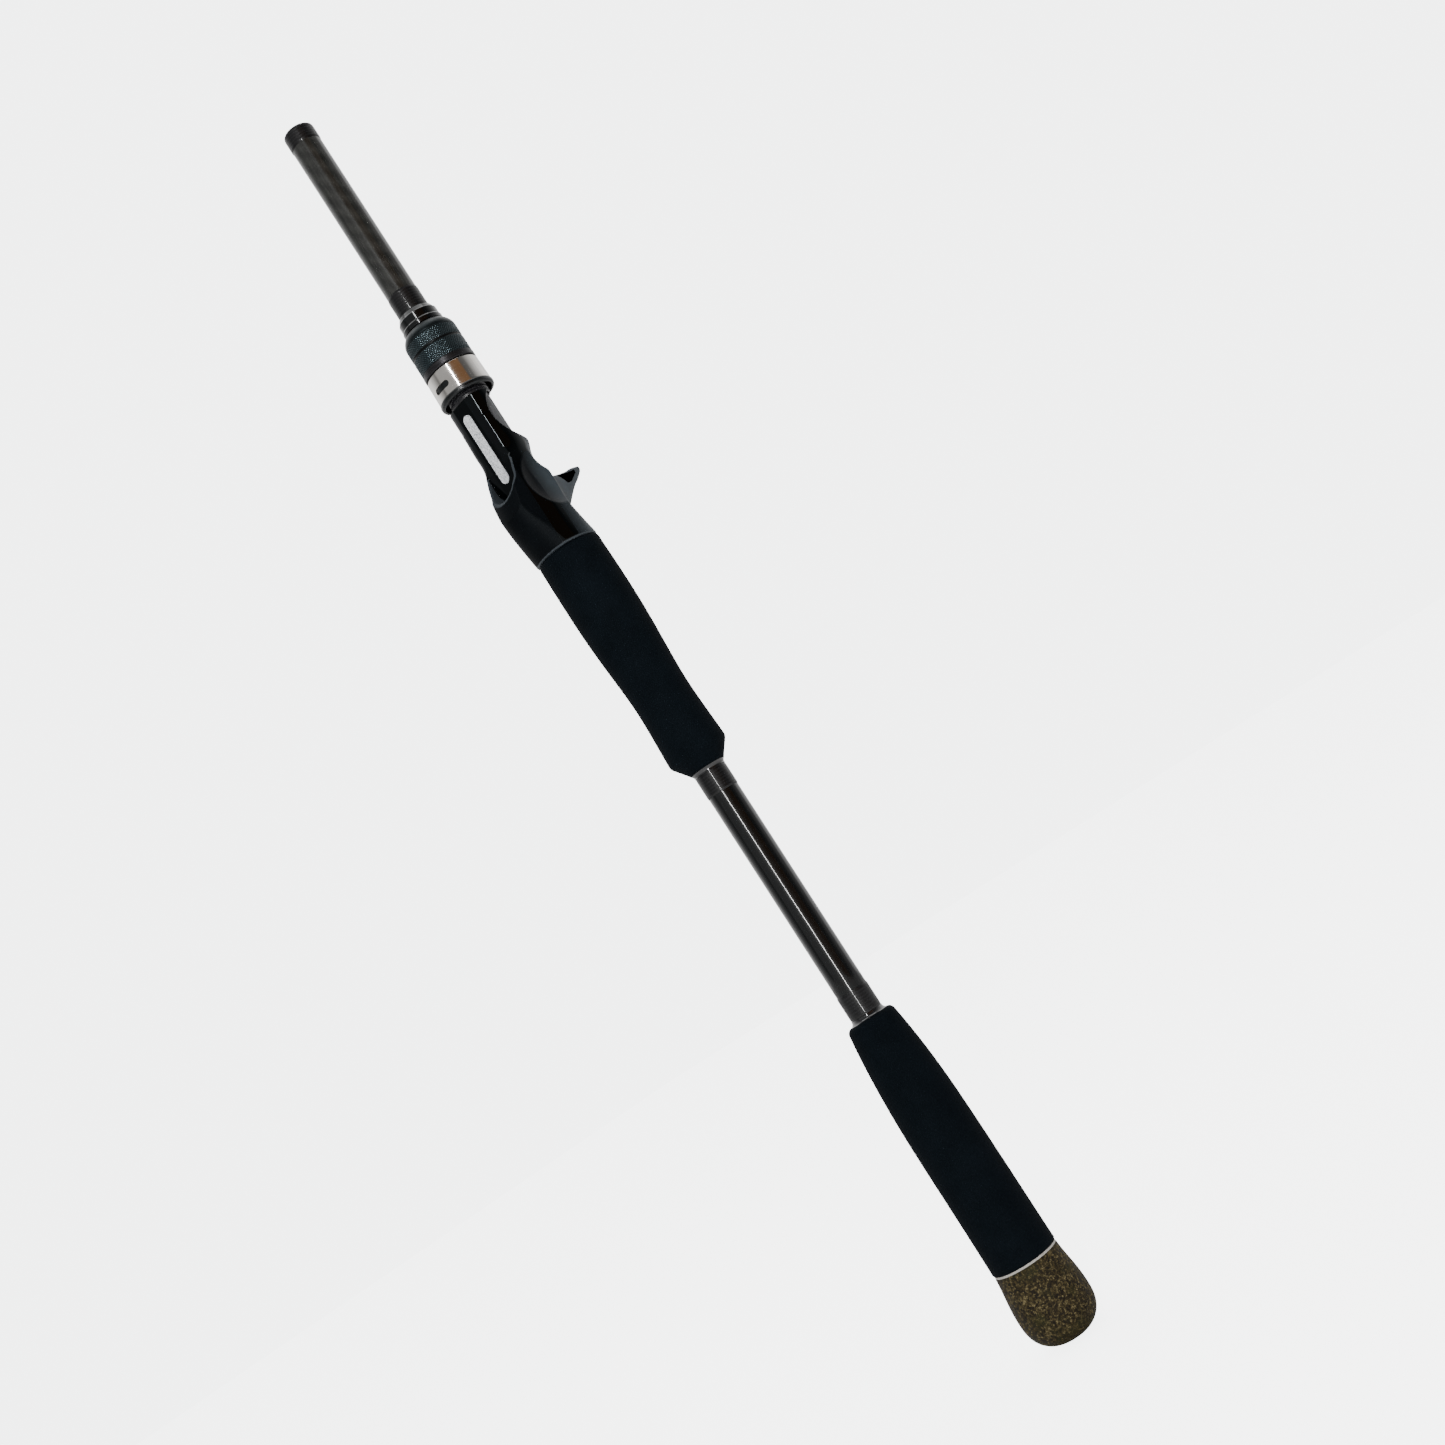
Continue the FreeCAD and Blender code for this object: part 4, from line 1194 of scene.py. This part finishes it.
def painted_floor_bounce_field(points):
    """Nought on the deck side, rising to one round the flanks and on the cut-out's walls: the mask of
    painted bounce light from the floor.
    """
    x, y, z = points.T
    angle = np.degrees(np.arctan2(np.abs(x), -y))
    wall = (y > 0) & (np.abs(seat_cut_out(y, z)) < 0.5)
    shade = np.clip((angle - SHADE_FROM) / SHADE_OVER, 0, 1)
    return np.maximum(shade * np.clip((414 - z) / 2, 0, 1), wall)


def hollow_shade_field(points):
    """One inside the trigger's recesses, nought elsewhere: there the moulding is painted near-black
    with no specular, as painted shade.
    """
    return np.abs(trigger_recess(*points.T)) < 0.3


def satin_rim_highlight_field(points):
    """One on the bevel round the channel's mouth and on the seat's lower lip, nought elsewhere: these
    are painted a lighter grey as a painted highlight on a satin finish.
    """
    x, y, z = points.T
    outside = deck_plan(x, z)
    rim = (outside > -0.1) & (outside < RIM_WIDTH) & (z < 405) & (y < DECK_Y - 0.3)
    return rim | (z < SEAT_LIP_Z)


def make_seat():
    low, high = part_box("seat_body")
    box_low = (low.x / MM - SCAN_MARGIN, low.y / MM - SCAN_MARGIN, SCAN_Z[0])
    box_high = (high.x / MM + SCAN_MARGIN, high.y / MM + SCAN_MARGIN, SCAN_Z[1])
    points, quads = surface_nets(seat_field, box_low, box_high, SEAT_STEP)
    seat = mesh_object("seat_moulding", points, quads)
    normals = slope_of(seat_field, points, NORMAL_REACH)
    normals /= np.linalg.norm(normals, axis=1, keepdims=True)
    seat.data.normals_split_custom_set_from_vertices(normals.tolist())
    # These attributes carry the coat and the painted light: bounce on the flanks, highlight on the rim
    # and lip, shade in the trigger's recesses.
    for name, field in (("soft_touch", soft_touch_field), ("satin_rim_highlight", satin_rim_highlight_field),
                        ("painted_floor_bounce", painted_floor_bounce_field), ("hollow", hollow_shade_field)):
        layer = seat.data.attributes.new(name, "FLOAT", "POINT")
        layer.data.foreach_set("value", field(points).astype(np.float32))
    return seat


# -------- run

def paint(obj, material):
    obj.data.materials.clear()
    obj.data.materials.append(material)


def stand_for(obj, body, nodes, material):
    """Put a new piece on a body in place of CAD nodes."""
    paint(obj, material)
    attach(obj, body)
    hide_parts(*nodes)


add_camera()
add_world()
add_lights()
add_floor()

PAINTS = {
    "carbon_tube": carbon_tube_paint(),
    "thread_wrap": thread_wrap_paint(),
    "check_black": anodised_black_paint(),
    "seat_plastic": seat_paint(),
    "deck_glitter": glitter_paint(),
    "liner_black": liner_paint(),
    "hood_metal": hood_paint(),
    "nut_metal": nut_paint(),
    "foam_black": foam_paint(),
    "epoxy": epoxy_paint(),
    "rubber_cork": cork_paint(),
    **{name: grained_paint(name) for name in GRAINED},
}
for part in frame["record"]["subparts"]:
    paint(NODES[part["node"]], PAINTS[part["material_slot"]])

stand_for(make_seat(), "handle", ["seat_body"], PAINTS["seat_plastic"])
stand_for(make_barrel_thread(), "handle", ["seat_body"], PAINTS["barrel_thread"])
stand_for(make_nut_sleeve(), "nut", ["nut_sleeve"], PAINTS["nut_metal"])
stand_for(make_butt_cap(), "handle", ["butt_cap"], PAINTS["rubber_cork"])
for node in ("upper_grip", "lower_grip"):
    grip = make_grip(node, node + "_foam")
    stand_for(grip, "handle", [node], PAINTS["foam_black"])
